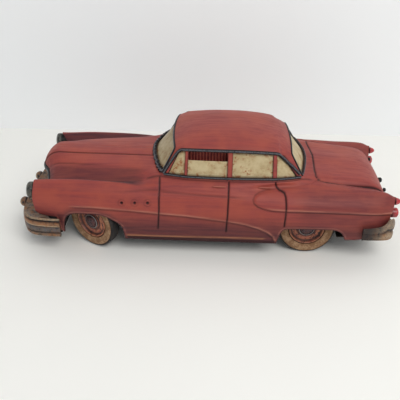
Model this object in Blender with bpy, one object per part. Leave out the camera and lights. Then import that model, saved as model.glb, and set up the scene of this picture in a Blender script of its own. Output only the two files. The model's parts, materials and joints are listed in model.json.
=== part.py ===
"""Friction-drive tin saloon car: pressed body, chassis, flywheel motor and steered front wheels.

Lengths are written in millimetres and turned into metres when a mesh is made.
Row frame: front of the car at -X, its left side at -Y, up +Z, ground at z = 0.  The drawing below has
x = 0 at the middle of the wheelbase and the ground at GROUND_Z; both are moved at the end.
"""
import math

import bpy
import bmesh
import numpy as np
from mathutils import Vector
from mathutils.geometry import tessellate_polygon

MM = 0.001

# ---- driving dimensions -------------------------------------------------------------------
FRONT_TIP = -139.7        # bumper-guard tips, measured from the middle of the wheelbase
REAR_TIP = 144.1          # tail-lamp tips
CENTRE_SHIFT = -(FRONT_TIP + REAR_TIP) / 2
WHEELBASE = 160.0
TYRE_RADIUS = 20.8
AXLE_Z = 17.8
GROUND_Z = AXLE_Z - TYRE_RADIUS
TYRE_WIDTH = 9.0
TRACK_HALF = 38.0         # rear wheel mid-plane from the car's centre plane
SHELL = 0.9               # sheet thickness of the body
GAP = 0.35                # clearance between neighbouring pieces
FLOOR_Z = 10.8            # underside of the chassis plate

REAR_AXLE_X = WHEELBASE / 2
STEER_REST = math.radians(-30.0)
KINGPIN_X = -76.0
KINGPIN_Y = 32.6
STUB_OFFSET = 6.0
STEER_ARM = 9.5

MODULE = 0.8
GEAR_TEETH = 32
PINION_TEETH = 10
GEAR_PITCH_RADIUS = MODULE * GEAR_TEETH / 2
PINION_PITCH_RADIUS = MODULE * PINION_TEETH / 2
GEAR_CENTRES = GEAR_PITCH_RADIUS + PINION_PITCH_RADIUS
AXLE_RADIUS = 1.2
COUNTER_ANGLE = math.radians(150.0)
FLYWHEEL_ANGLE = math.radians(163.0)

# ---- start from an empty scene ------------------------------------------------------------
for old in list(bpy.data.objects):
    bpy.data.objects.remove(old, do_unlink=True)


def material(name, colour, roughness, metallic):
    mat = bpy.data.materials.new(name)
    mat.use_nodes = True
    shader = mat.node_tree.nodes["Principled BSDF"]
    shader.inputs["Base Color"].default_value = (*colour, 1.0)
    shader.inputs["Roughness"].default_value = roughness
    shader.inputs["Metallic"].default_value = metallic
    return mat


BODY_PAINT = material("body_paint", (0.32, 0.09, 0.07), 0.5, 0.0)
WINDOW_CREAM = material("window_cream", (0.55, 0.50, 0.36), 0.5, 0.0)
DULL_PLATE = material("dull_plate", (0.25, 0.20, 0.15), 0.4, 0.8)
DARK_TRIM = material("dark_trim", (0.04, 0.04, 0.05), 0.4, 0.6)
RUBBER = material("tyre_rubber", (0.03, 0.03, 0.03), 0.8, 0.0)
WHEEL_PAINT = material("wheel_paint", (0.28, 0.07, 0.05), 0.6, 0.1)
LAMP_RED = material("lamp_red", (0.5, 0.03, 0.04), 0.3, 0.0)
LAMP_CLEAR = material("lamp_clear", (0.35, 0.34, 0.30), 0.3, 0.2)
SEAT_RED = material("seat_red", (0.12, 0.02, 0.02), 0.7, 0.0)
MOTOR_STEEL = material("motor_steel", (0.35, 0.35, 0.36), 0.35, 1.0)
GEAR_BRASS = material("gear_brass", (0.55, 0.40, 0.16), 0.35, 1.0)
CHASSIS_TIN = material("chassis_tin", (0.10, 0.09, 0.08), 0.5, 0.7)


# ---- mesh helpers -------------------------------------------------------------------------
def add_mesh(name, points, faces, mat, origin=(0, 0, 0), turn=0.0, smooth=True, angle=35):
    """An object from points in mm given relative to origin, turned about +Z by turn."""
    mesh = bpy.data.meshes.new(name)
    mesh.from_pydata([tuple(float(c) * MM for c in p) for p in points], [], faces)
    bm = bmesh.new()
    bm.from_mesh(mesh)
    bmesh.ops.remove_doubles(bm, verts=bm.verts, dist=1e-6)
    bmesh.ops.recalc_face_normals(bm, faces=bm.faces)
    bm.to_mesh(mesh)
    bm.free()
    mesh.materials.append(mat)
    obj = bpy.data.objects.new(name, mesh)
    bpy.context.scene.collection.objects.link(obj)
    obj.location = [c * MM for c in origin]
    obj.rotation_euler = (0, 0, turn)
    if smooth:
        mesh.shade_smooth()
        mesh.set_sharp_from_angle(angle=math.radians(angle))
    return obj


def axis_map(axis):
    """Puts a flat (a, b) drawing and a height h onto the axes: axis is the height's direction."""
    if axis == "Y":
        return lambda a, b, h: (a, h, b)
    if axis == "X":
        return lambda a, b, h: (h, a, b)
    return lambda a, b, h: (a, b, h)


def plate(name, outline, holes, low, high, axis, mat, **kw):
    """A flat plate: outline and holes drawn in the plane across axis, from low to high."""
    put = axis_map(axis)
    loops = [list(outline)] + [list(h) for h in holes]
    flat = [Vector((a, b, 0.0)) for loop in loops for a, b in loop]
    caps = tessellate_polygon([[Vector((a, b, 0.0)) for a, b in loop] for loop in loops])
    points = [put(v.x, v.y, low) for v in flat] + [put(v.x, v.y, high) for v in flat]
    n = len(flat)
    faces = [tuple(t) for t in caps] + [tuple(i + n for i in reversed(t)) for t in caps]
    start = 0
    for loop in loops:
        size = len(loop)
        for i in range(size):
            a = start + i
            b = start + (i + 1) % size
            faces.append((a, b, b + n, a + n))
        start += size
    return add_mesh(name, points, faces, mat, smooth=False, **kw)


def circle(radius, count=16, centre=(0.0, 0.0), phase=0.0):
    turns = [phase + 2 * math.pi * i / count for i in range(count)]
    return [(centre[0] + radius * math.cos(t), centre[1] + radius * math.sin(t)) for t in turns]


def turned(name, profile, mat, axis="Y", count=28, closed=False, **kw):
    """A solid of revolution: profile is (radius, height) pairs; closed joins its ends into a ring."""
    put = axis_map(axis)
    points = []
    for radius, height in profile:
        for a, b in circle(radius, count):
            points.append(put(a, b, height))
    rows = len(profile)
    faces = []
    for r in range(rows if closed else rows - 1):
        for i in range(count):
            j = (i + 1) % count
            low, high = r * count, ((r + 1) % rows) * count
            faces.append((low + i, low + j, high + j, high + i))
    if not closed:
        faces.append(tuple(range(count)))
        faces.append(tuple((rows - 1) * count + i for i in range(count)))
    return add_mesh(name, points, faces, mat, **kw)


def sweep(name, path, section, mat, **kw):
    """A bar: section(i) gives the loop of points around path[i]; both ends are capped."""
    loops = [section(i) for i in range(len(path))]
    size = len(loops[0])
    points = [p for loop in loops for p in loop]
    faces = []
    for i in range(len(loops) - 1):
        for j in range(size):
            k = (j + 1) % size
            faces.append((i * size + j, i * size + k, (i + 1) * size + k, (i + 1) * size + j))
    faces.append(tuple(range(size)))
    faces.append(tuple((len(loops) - 1) * size + j for j in range(size)))
    return add_mesh(name, points, faces, mat, **kw)


def solidify(obj, thickness):
    skin = obj.modifiers.new("sheet", "SOLIDIFY")
    skin.thickness = thickness * MM
    skin.offset = -1.0
    return obj


def join_solids(base, *others):
    """Unions the other solids into base and removes them."""
    for other in others:
        union = base.modifiers.new("join", "BOOLEAN")
        union.operation = "UNION"
        union.solver = "EXACT"
        union.object = other
        other.hide_render = True
        other.display_type = "WIRE"
    bpy.context.view_layer.update()
    shape = base.evaluated_get(bpy.context.evaluated_depsgraph_get())
    mesh = bpy.data.meshes.new_from_object(shape)
    base.modifiers.clear()
    base.data = mesh
    for other in others:
        bpy.data.objects.remove(other, do_unlink=True)
    return base


def curve(knots, x):
    """Smooth curve through (x, value) knots without overshoot, flat beyond both ends."""
    table = np.array(knots, float)
    xs, ys = table[:, 0], table[:, 1]
    x = np.clip(np.asarray(x, float), xs[0], xs[-1])
    steps = np.diff(xs)
    slopes = np.diff(ys) / steps
    tangents = np.concatenate([[slopes[0]], np.zeros(len(xs) - 2), [slopes[-1]]])
    for i in range(1, len(xs) - 1):
        if slopes[i - 1] * slopes[i] > 0:
            w1 = 2 * steps[i] + steps[i - 1]
            w2 = steps[i] + 2 * steps[i - 1]
            tangents[i] = (w1 + w2) / (w1 / slopes[i - 1] + w2 / slopes[i])
    i = np.clip(np.searchsorted(xs, x, side="right") - 1, 0, len(xs) - 2)
    t = (x - xs[i]) / steps[i]
    value = (1 + 2 * t) * (1 - t) ** 2 * ys[i] + t * (1 - t) ** 2 * steps[i] * tangents[i]
    return value + t * t * (3 - 2 * t) * ys[i + 1] + t * t * (t - 1) * steps[i] * tangents[i + 1]


# ---- body surface -------------------------------------------------------------------------
# Nine lines run nose to tail on one half of the body, counted outward from the centre plane:
# 0 centre, 1 raised panel, 2 bonnet edge, 3 valley and window sill, 4 wing and fin crown,
# 5 shoulder, 6 widest side, 7 lower side, 8 bottom.  Each is (x, y, z) stations plus where
# its front and rear ends curl down: (end x, curl length, height reached).
NOSE_X = -123.0
TAIL_X = 139.5
LINES = [
    ([(-123, 0, 60.0), (-100, 0, 60.3), (-40, 0, 60.5), (30, 0, 60.0), (75, 0, 58.8), (95, 0, 57.4),
      (140, 0, 54.0)], (-121.2, 13, 45.5), (139.5, 36, 27)),
    ([(-123, 9, 59.2), (-40, 11, 59.6), (30, 11, 59.2), (75, 12, 58.2), (95, 12, 56.6),
      (140, 12, 53.5)], (-120.2, 13, 45.5), (139.5, 36, 27)),
    ([(-123, 18, 54.0), (-108, 19, 54.4), (-94, 21.5, 55.8), (-73, 24, 56.6), (-52, 25.5, 57.3), (-36, 27, 57.9), (30, 28, 58.0), (75, 27, 57.2),
      (105, 28, 54.3), (140, 28, 51.0)], (-115.0, 10, 45), (139.3, 32, 27)),
    ([(-121, 33, 47.5), (-95, 34, 48.6), (-66, 36, 50.0), (-42, 36.6, 52.6), (-28, 37.4, 56.4),
      (-8, 40.1, 55.8), (20, 40.8, 55.6), (52, 40.0, 55.8), (66, 37.6, 56.0), (73, 35.2, 56.0),
      (86, 33.5, 53.8), (105, 33, 50.8), (140, 34, 46.0)], (-112.0, 5, 43), (139.0, 22, 29)),
    ([(-119, 40, 52.0), (-90, 41, 53.5), (-65, 42, 53.0), (-50, 43, 51.9), (-35, 45.0, 50.0),
      (-20, 47, 49.6), (20, 47.5, 49.4), (45, 43.0, 51.6), (62, 40.2, 52.4), (90, 39.8, 52.0),
      (112, 40.6, 50.6), (124, 41.0, 50.3), (132, 41.2, 49.8), (139.4, 41.2, 46.9)], (-118.2, 0, 0), (139.4, 0, 0)),
    ([(-119, 46.5, 49.0), (-90, 48, 48.4), (-50, 49.5, 46.4), (0, 50.3, 44.0), (35, 50.5, 45.0),
      (60, 48.6, 46.8), (112, 48.4, 46.2), (124, 47.9, 45.6), (132, 46.8, 44.8), (139.2, 44.3, 43.6)],
     (-118.7, 0, 0), (139.0, 0, 0)),
    ([(-119, 48.6, 41.0), (-90, 50.4, 40.0), (-50, 51.4, 39.0), (0, 51.8, 37.0), (35, 52, 38.0),
      (60, 52.6, 40.0), (112, 52, 40.0), (126, 50.9, 39.4), (137.0, 48.6, 38.0)], (-119.6, 0, 0), (137.0, 0, 0)),
    ([(-119, 47.6, 33.0), (-90, 50, 27.0), (-50, 51.4, 25.5), (0, 51.6, 24.0), (60, 52, 26.0),
      (112, 51, 27.0), (135.6, 48.6, 28.0)], (-119.4, 0, 0), (135.6, 0, 0)),
    ([(-119, 45.5, 24.0), (-90, 48.4, 10.0), (-50, 49.8, 9.0), (0, 50.0, 9.0), (60, 50.0, 9.0),
      (112, 49.2, 10.0), (134, 46.6, 14.0)], (-119.0, 0, 0), (134.0, 0, 0)),
]
SILL = 3
END_BLEND = 26.0
BOW = [(-80, 0), (-37, 9.5), (-30, 7), (-20, 3), (-8, 0), (50, 0), (62, -2.2), (72, -5), (79.8, -6.8),
       (92, -3), (110, 0)]
BOW_SHARE = [1, 1, 1, 1, 0.6, 0.3, 0.1, 0, 0]
# height of the body's lower edge: nose, front wheel arch, rocker, rear wheel arch, tail
LOWER_EDGE = [(-121.6, 35.0), (-120.2, 31.5), (-118.8, 29.0), (-116.2, 26.9), (-109, 26.0), (-103.8, 25.8),
              (-102.9, 19.0), (-102.0, 12.6), (-100.6, 11.4), (-99.2, 11.4), (-98.6, 18.4), (-97.9, 22.8),
              (-95.8, 27.4), (-91.8, 30.0), (-88, 30.7), (-76, 30.7), (-68.1, 29.3), (-63.1, 26.8), (-57.9, 23.2),
              (-55.6, 19.6), (-54.6, 15.0), (-54.0, 9.8), (57.0, 9.8), (57.8, 13.2), (58.6, 15.8), (59.8, 20.3),
              (61.8, 22.9), (65, 23.8), (80, 24.0), (95, 23.9), (99.4, 23.2), (102.9, 21.2), (105.6, 17.4),
              (106.8, 14.6), (113, 14.6), (121, 15.4), (134, 21.0)]


def curl(z, reach, span, low, power):
    q = np.clip(reach / span, 0, 1)
    return low + (z - low) * np.sqrt(1 - q**power)


def body_line(k, station):
    """Points of line k at the stations, which are x values before the ends and glass bow them."""
    knots, front, rear = LINES[k]
    knots = np.array(knots, float)
    near_front = np.clip(1 - (station - NOSE_X) / END_BLEND, 0, 1) ** 2
    near_rear = np.clip(1 - (TAIL_X - station) / END_BLEND, 0, 1) ** 2
    x = station + (front[0] - NOSE_X) * near_front + (rear[0] - TAIL_X) * near_rear
    y = curve(knots[:, [0, 1]], x)
    bow = curve(BOW, station) * BOW_SHARE[k] * (np.minimum(y, 38) / 37) ** 2
    x = x + bow
    y = curve(knots[:, [0, 1]], x)
    z = curve(knots[:, [0, 2]], x)
    if front[1]:
        z = curl(z, front[0] + front[1] - x, front[1], front[2], 2.0)
    if rear[1]:
        z = curl(z, x - rear[0] + rear[1], rear[1], rear[2], 4.4)
    return np.stack([x, y, z], -1)


def body_rows(station, across):
    """Points at the stations and the (fractional) line numbers across: shape (n, m, 3)."""
    lines = np.stack([body_line(k, station) for k in range(len(LINES))], 1)
    inner = lines[:, 1:2] * [1, -1, 1]
    outer = 2 * lines[:, -1:] - lines[:, -2:-1]
    lines = np.concatenate([inner, lines, outer], 1)
    i = np.clip(across.astype(int), 0, len(LINES) - 2)
    t = (across - i)[..., None]
    row = np.arange(len(station))[:, None]
    a, b, c, d = (lines[row, i + j] for j in range(4))
    return 0.5 * (2 * b + (c - a) * t + (2 * a - 5 * b + 4 * c - d) * t**2 + (3 * b - a - 3 * c + d) * t**3)


def bottom_edge(x):
    return curve(LOWER_EDGE, x)


def lower_end(station, start):
    """Fractional line number where each row meets the bottom edge."""
    low = np.full(len(station), float(start))
    high = np.full(len(station), len(LINES) - 1.0)
    for _ in range(30):
        mid = (low + high) / 2
        p = body_rows(station, mid[:, None])[:, 0]
        above = p[:, 2] > bottom_edge(p[:, 0])
        low = np.where(above, mid, low)
        high = np.where(above, high, mid)
    return (low + high) / 2


# ---- cabin --------------------------------------------------------------------------------
# The sill ring of the cabin is a rectangle in the body grid; the roof is the same rectangle
# of stations, lifted to the rail.  Roof-rail values are given against the body stations.
GLASS_FRONT = -37.0
GLASS_REAR = 79.8
RAIL_X = [(-37, -17.2), (-31.5, -14.2), (-11.5, -10.4), (-9, -8.2), (19.5, 19.5), (23.1, 23.1),
          (51.8, 51.4), (55.8, 54.0), (76.3, 58.4), (79.8, 64.2)]
RAIL_Y = [(-37, 31.8), (-31.5, 33), (-11.5, 34.2), (20, 34.9), (51.8, 34), (55.8, 33.6), (76.3, 31),
          (79.8, 28.6)]
RAIL_Z = [(-37, 75.4), (-31.5, 76), (-11.5, 76.7), (20, 76.8), (51.8, 75.6), (76.3, 72.8), (79.8, 72)]
ROOF_BOW = [(-37, -2.6), (-24, 0), (66, 0), (79.8, 1.0)]
ROOF_TOP = [(-20, 78.6), (-14, 81.3), (-4, 84.0), (12, 85.7), (28, 85.8), (44, 84.3), (52, 82.6), (58, 80.5),
            (62, 78.3), (65.4, 75.2)]


def roof_point(station, across):
    """Roof surface over the sill rectangle; across runs 0 at the centre to SILL at the rail."""
    t = np.clip(across / SILL, 0, 1)
    x = curve(RAIL_X, station) + curve(ROOF_BOW, station) * (1 - t * t)
    y = curve(RAIL_Y, station) * t
    rail = curve(RAIL_Z, station)
    z = rail + (curve(ROOF_TOP, x) - rail) * (1 - t**2.3) ** 0.62
    return np.stack([x, y, z], -1)


def ring_stations(front_across, sides, rear_across):
    """(station, across) pairs round half the sill ring: centre front to centre rear."""
    ring = [(GLASS_FRONT, a) for a in front_across]
    ring += [(s, float(SILL)) for s in sides]
    return ring + [(GLASS_REAR, a) for a in reversed(rear_across)]


def ring_point(ring, v):
    """Cabin wall point at height fraction v between sill (0) and rail (1)."""
    station = np.array([r[0] for r in ring], float)
    across = np.array([r[1] for r in ring], float)
    low = body_rows(station, across[:, None])[:, 0]
    return low * (1 - v) + roof_point(station, across) * v


# ---- body shell ---------------------------------------------------------------------------
NOSE_STATIONS = [NOSE_X, -122.2, -120, -116, -110, -104.6, -103.2, -101.8, -99.8, -98.9, -97.8, -95, -90, -82,
                 -75, -68, -62, -57.6, -55.2, -53.6, -45]
SIDE_STATIONS = [-31.5, -21, -11.5, -9.0, 5, 19.5, 23.1, 37, 51.8, 55.8, 57.6, 59.8, 63, 69, 76.3]
TAIL_STATIONS = [88, 96, 100.6, 104, 106.4, 112, 120, 126, 131, 135, 138.2, TAIL_X]
PILLAR_EDGE = 2.8
ACROSS_TOP = [0, 0.75, 1.5, 2.2, PILLAR_EDGE, float(SILL)]
ACROSS_SIDE = [3.3, 3.65, 4, 4.45, 5, 5.7]
LOWER_STEPS = 3
WALL_HEIGHTS = [0.12, 0.93]
OPENINGS = [(-31.5, -11.5), (-9.0, 19.5), (23.1, 51.8), (55.8, 76.3)]


def build_body_shell():
    stations = np.array(NOSE_STATIONS + [GLASS_FRONT] + SIDE_STATIONS + [GLASS_REAR] + TAIL_STATIONS)
    ends = lower_end(stations, ACROSS_SIDE[-1])
    lower = ACROSS_SIDE[-1] + (ends - ACROSS_SIDE[-1])[:, None] * np.arange(1, LOWER_STEPS + 1) / LOWER_STEPS
    upper = np.broadcast_to(np.array(ACROSS_TOP + ACROSS_SIDE), (len(stations), len(ACROSS_TOP + ACROSS_SIDE)))
    grid = body_rows(stations, np.concatenate([upper, lower], 1))
    first, last = len(NOSE_STATIONS), len(NOSE_STATIONS) + 1 + len(SIDE_STATIONS)
    sill = len(ACROSS_TOP) - 1
    points = [tuple(p) for p in grid.reshape(-1, 3)]
    columns = grid.shape[1]
    faces = []
    for i in range(grid.shape[0] - 1):
        for j in range(columns - 1):
            if first <= i < last and j < sill:
                continue
            a = i * columns + j
            faces.append((a, a + 1, a + columns + 1, a + columns))

    # cabin wall: levels of vertices above the sill ring, the last one being the roof's edge
    ring_ij = [(first, j) for j in range(sill)] + [(i, sill) for i in range(first, last + 1)]
    ring_ij += [(last, j) for j in range(sill - 1, -1, -1)]
    ring = [(stations[i], ACROSS_TOP[j]) for i, j in ring_ij]
    levels = [[i * columns + j for i, j in ring_ij]]
    for v in WALL_HEIGHTS:
        levels.append(list(range(len(points), len(points) + len(ring))))
        points += [tuple(p) for p in ring_point(ring, v)]
    roof_index = {}
    for i in range(first, last + 1):
        for j in range(sill + 1):
            roof_index[i, j] = len(points)
            points.append(tuple(roof_point(np.array([stations[i]]), np.array([float(ACROSS_TOP[j])]))[0]))
    levels.append([roof_index[ij] for ij in ring_ij])
    for level in range(len(levels) - 1):
        for r in range(len(ring) - 1):
            (s0, a0), (s1, a1) = ring[r], ring[r + 1]
            on_side = a0 == SILL and a1 == SILL
            glass = any(lo <= s0 and s1 <= hi for lo, hi in OPENINGS) if on_side else max(a0, a1) <= PILLAR_EDGE
            if level == 1 and glass:
                continue
            faces.append((levels[level][r], levels[level][r + 1], levels[level + 1][r + 1], levels[level + 1][r]))
    for i in range(first, last):
        for j in range(sill):
            faces.append((roof_index[i, j], roof_index[i, j + 1], roof_index[i + 1, j + 1], roof_index[i + 1, j]))

    # the other half is the mirror image; points on the centre plane are merged
    count = len(points)
    points += [(x, -y, z) for x, y, z in points]
    faces += [tuple(count + k for k in reversed(f)) for f in faces]
    shell = add_mesh("body_shell", points, faces, BODY_PAINT)
    up = [p for p in shell.data.polygons if abs(p.center.y) < 0.01 and p.center.z > 0.08]
    if up[0].normal.z < 0:
        shell.data.flip_normals()
    return solidify(shell, SHELL)


def slab(name, outer, inner, skip, mat):
    """A sheet between two grids of points; cells in skip are left open."""
    rows, cols = outer.shape[:2]
    count = rows * cols
    points = list(outer.reshape(-1, 3)) + list(inner.reshape(-1, 3))
    kept = {(i, j) for i in range(rows - 1) for j in range(cols - 1)} - set(skip)
    faces = []
    for i, j in sorted(kept):
        a, b, c, d = i * cols + j, i * cols + j + 1, (i + 1) * cols + j + 1, (i + 1) * cols + j
        faces += [(a, b, c, d), (a + count, d + count, c + count, b + count)]
        for p, q, beside in ((a, b, (i - 1, j)), (b, c, (i, j + 1)), (c, d, (i + 1, j)), (d, a, (i, j - 1))):
            if beside not in kept:
                faces.append((p, p + count, q + count, q))
    return add_mesh(name, points, faces, mat)


PANE = 0.5
PANE_LOW, PANE_OPEN, PANE_HIGH = 0.07, 0.63, 0.96


def pane(name, ring, side, heights, skip=()):
    """Window insert behind the cabin wall; side is the sign of y for each ring entry."""
    wall = np.array([ring_point(ring, v) * np.stack([np.ones(len(ring)), side, np.ones(len(ring))], -1)
                     for v in heights])
    normal = np.cross(np.gradient(wall, axis=1), np.gradient(wall, axis=0))
    normal /= np.linalg.norm(normal, axis=-1, keepdims=True)
    outward = np.sum(normal * (wall - np.array([20.0, 0.0, 66.0])), -1, keepdims=True)
    normal *= np.sign(outward)
    near = SHELL + GAP
    return slab(name, wall - normal * near, wall - normal * (near + PANE), skip, WINDOW_CREAM)


def build_glass():
    across = [2.86, 2.2, 1.5, 0.75]
    for name, station, high in (("windscreen", GLASS_FRONT, PANE_HIGH), ("rear_window", GLASS_REAR, PANE_HIGH)):
        ring = [(station, a) for a in across] + [(station, 0.0)] + [(station, a) for a in reversed(across)]
        side = np.array([-1.0] * len(across) + [1.0] * (len(across) + 1))
        pane(name, ring, side, [PANE_LOW, 0.5, high])
    stations = [-28.5, -20, -11.5, -9.0, 5, 19.5, 23.1, 37, 51.8, 55.8, 66, 74]
    lowered = [(1, c) for c in range(len(stations) - 1) if -9.0 <= stations[c] < 19.5]
    for name, sign in (("left", -1.0), ("right", 1.0)):
        ring = [(s, float(SILL)) for s in stations]
        pane("side_glazing_" + name, ring, np.full(len(ring), sign), [PANE_LOW, PANE_OPEN, PANE_HIGH],
             lowered if name == "left" else ())


# ---- trim on the body ---------------------------------------------------------------------
def wall_bar(name, ring, side, v, lift, width, depth, mat, tilt=0.0):
    """A thin strip following the cabin wall at height v, its middle lift mm outside the wall."""
    height = np.broadcast_to(np.asarray(v, float), (len(ring),))[:, None]
    here = ring_point(ring, height)
    above = ring_point(ring, height + 0.05)
    up = above - here
    up /= np.linalg.norm(up, axis=-1, keepdims=True)
    along = np.gradient(here, axis=0)
    out = np.cross(along, up)
    out /= np.linalg.norm(out, axis=-1, keepdims=True)
    out *= np.where(out[:, 1:2] < 0, -1, 1)
    middle = here + out * lift + up * tilt

    def section(i):
        corners = []
        for a, b in ((-1, -1), (1, -1), (1, 1), (-1, 1)):
            p = middle[i] + up[i] * a * width / 2 + out[i] * b * depth / 2
            corners.append((p[0], p[1] * side, p[2]))
        return corners
    return sweep(name, ring, section, mat)


def surface_frame(x, y):
    """Height of the wing surface at (x, |y|) between sill and shoulder, and its outward tilt."""
    station = np.array([x, x], float)
    low, high = float(SILL), 5.0
    for _ in range(30):
        mid = (low + high) / 2
        p = body_rows(station[:1], np.array([[mid]]))[0, 0]
        low, high = (mid, high) if p[1] < y else (low, mid)
    p = body_rows(station[:1], np.array([[mid]]))[0, 0]
    q = body_rows(station[:1], np.array([[mid + 0.05]]))[0, 0]
    slope = (q - p) / np.linalg.norm(q - p)
    return p, np.array([0.0, -slope[2], slope[1]])


def build_body_trim():
    rail = [(s, float(SILL)) for s in (-36.5, -31.5, -21, -11.5, 5, 19.5, 37, 51.8, 60, 67, 73, 76.6, 78.2, 79.2)]
    rail_height = [0.965] * 8 + [0.95, 0.92, 0.84, 0.66, 0.42, 0.2]
    sill = [(s, float(SILL)) for s in (-36.0, -31.5, -21, -11.5, 5, 19.5, 37, 51.8, 60, 68, 76.3, 79.0)]
    for name, sign in (("left", -1.0), ("right", 1.0)):
        wall_bar("drip_rail_" + name, rail, sign, rail_height, 0.85, 1.5, 0.9, DARK_TRIM)
        wall_bar("sill_trim_" + name, sill, sign, 0.085, 0.75, 1.1, 0.7, DARK_TRIM)
        for which, start, end, inboard in (("front", 9.5, 18.5, 44.6), ("rear", 42.0, 51.0, 42.6)):
            feet = [surface_frame(x, inboard) for x in (start, (start + end) / 2, end)]

            def section(i, feet=feet, sign=sign):
                foot, out = feet[i]
                corners = []
                for a, b in ((-0.6, GAP), (0.6, GAP), (0.6, 1.5), (-0.6, 1.5)):
                    p = foot + out * b + np.array([0, out[2], -out[1]]) * a
                    corners.append((p[0], p[1] * sign, p[2]))
                return corners
            sweep(f"door_handle_{which}_{name}", feet, section, BODY_PAINT)


# ---- nose and tail ------------------------------------------------------------------------
LAMP_Y = 42.3
LAMP_Z = 44.7
GUARD_RADIUS = 3.9
SHELF_DROP = 1.6           # step from a bumper's top edge down to its inward shelf


def body_section(x, inset):
    """The body's half cross-section at x as (y, z) from centre top to bottom edge, moved inward.

    inset is how far: its first value inboard of the wings, its second on them."""
    outline = []
    for across in np.linspace(0, 7.2, 25):
        low, high = NOSE_X, TAIL_X
        for _ in range(30):
            mid = (low + high) / 2
            p = body_rows(np.array([mid]), np.array([[across]]))[0, 0]
            low, high = (mid, high) if p[0] < x else (low, mid)
        outline.append((p[1], p[2]))
    outline = np.array(outline)
    along = np.gradient(outline, axis=0)
    along /= np.linalg.norm(along, axis=1, keepdims=True)
    depth = np.interp(outline[:, 0], [36.0, 42.0], inset)[:, None]
    moved = outline + np.stack([along[:, 1], -along[:, 0]], 1) * depth
    moved[0] = (0.0, outline[0, 1] - inset[0])
    return moved


def cross_panel(name, x, thickness, floor, inset, mat):
    """A plate across the car at x, closing the body's section down to the floor height."""
    half = [(y, z) for y, z in body_section(x, inset) if z > floor]
    half = half + [(half[-1][0], floor)]
    right = [(0.0, floor)] + half[::-1]
    left = [(-y, z) for y, z in reversed(right) if y > 0]
    return plate(name, right + left, [], x - thickness / 2, x + thickness / 2, "X", mat)


def build_nose():
    cross_panel("front_panel", -108.8, 0.8, 29.5, (2.5, 1.9), DARK_TRIM)
    grille_front = [(-31, 28), (31, 28), (33.5, 34), (31, 41.6), (-31, 41.6), (-33.5, 34)]
    plate("grille", grille_front, [], -112.2, -109.8, "X", DULL_PLATE)
    for name, sign in (("left", -1), ("right", 1)):
        centre = (0, sign * LAMP_Y, LAMP_Z)
        bezel = [(3.9, -120.5), (3.9, -123.0), (4.4, -123.8), (5.2, -123.9), (5.9, -123.0), (5.9, -120.5)]
        turned("headlamp_bezel_" + name, bezel, DARK_TRIM, axis="X", count=20, closed=True, origin=centre)
        lens = [(3.5, -120.3), (3.5, -122.0), (2.6, -122.8), (1.2, -123.3)]
        turned("headlamp_lens_" + name, lens, LAMP_CLEAR, axis="X", count=14, origin=centre)


def build_tail():
    cross_panel("rear_panel", 133.0, 0.8, 25.0, (3.6, 1.9), BODY_PAINT)
    for name, sign in (("left", -1), ("right", 1)):
        upper = [(0.7, 136.8), (0.7, 139.8), (2.8, 139.8), (2.5, 141.4), (1.6, 143.2), (0.6, REAR_TIP)]
        turned("tail_lamp_upper_" + name, upper, LAMP_RED, axis="X", count=16, origin=(0, sign * 41.4, 43.8))
        lower = [(2.3, 133.8), (2.3, 138.2), (3.6, 138.2), (3.6, 142.6), (2.6, 143.4)]
        turned("tail_lamp_lower_" + name, lower, LAMP_RED, axis="X", count=16, origin=(0, sign * 41.8, 34.6))
        stud = [(1.5, 135.8), (1.5, 136.8), (0.8, 137.4)]
        turned("boot_stud_" + name, stud, DARK_TRIM, axis="X", count=12, origin=(0, sign * 25.0, 43.6))
    turned("boot_handle", [(2.0, 139.0), (2.0, 140.6), (1.1, 141.6)], DARK_TRIM, axis="X", count=12, origin=(0, 0, 38.2))


def bumper(name, path, low, high, depth, bulge, flange, mat):
    """A pressed bar on its edge: path is the outer line from above (x, y), high per point.

    flange is how far a shelf along its top reaches inward at each point, towards the body."""
    path = np.array(path, float)
    low = np.full(len(path), float(low))
    tangent = np.gradient(path, axis=0)
    tangent /= np.linalg.norm(tangent, axis=1, keepdims=True)
    inward = np.stack([-tangent[:, 1], tangent[:, 0]], 1)
    if inward[len(path) // 2, 0] * path[len(path) // 2, 0] > 0:
        inward = -inward

    def section(i):
        mid = (low[i] + high[i]) / 2
        loop = [(depth, low[i] + 1.0), (bulge, low[i]), (0.3, low[i] + 2.0), (0.0, mid - 1.2), (0.8, mid),
                (0.0, mid + 1.2), (0.3, high[i] - 2.0), (bulge, high[i]), (depth, high[i] - 0.9),
                (flange[i], high[i] - SHELF_DROP), (flange[i], high[i] - SHELF_DROP - 1.0), (depth, high[i] - 2.4)]
        return [(path[i][0] + inward[i][0] * d, path[i][1] + inward[i][1] * d, z) for d, z in loop]
    return sweep(name, path, section, mat)


def mirrored_path(half):
    """Left half listed from the side to the centre, joined to its mirror image."""
    return half + [(x, -y) for x, y in reversed(half) if y < 0]


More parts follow.
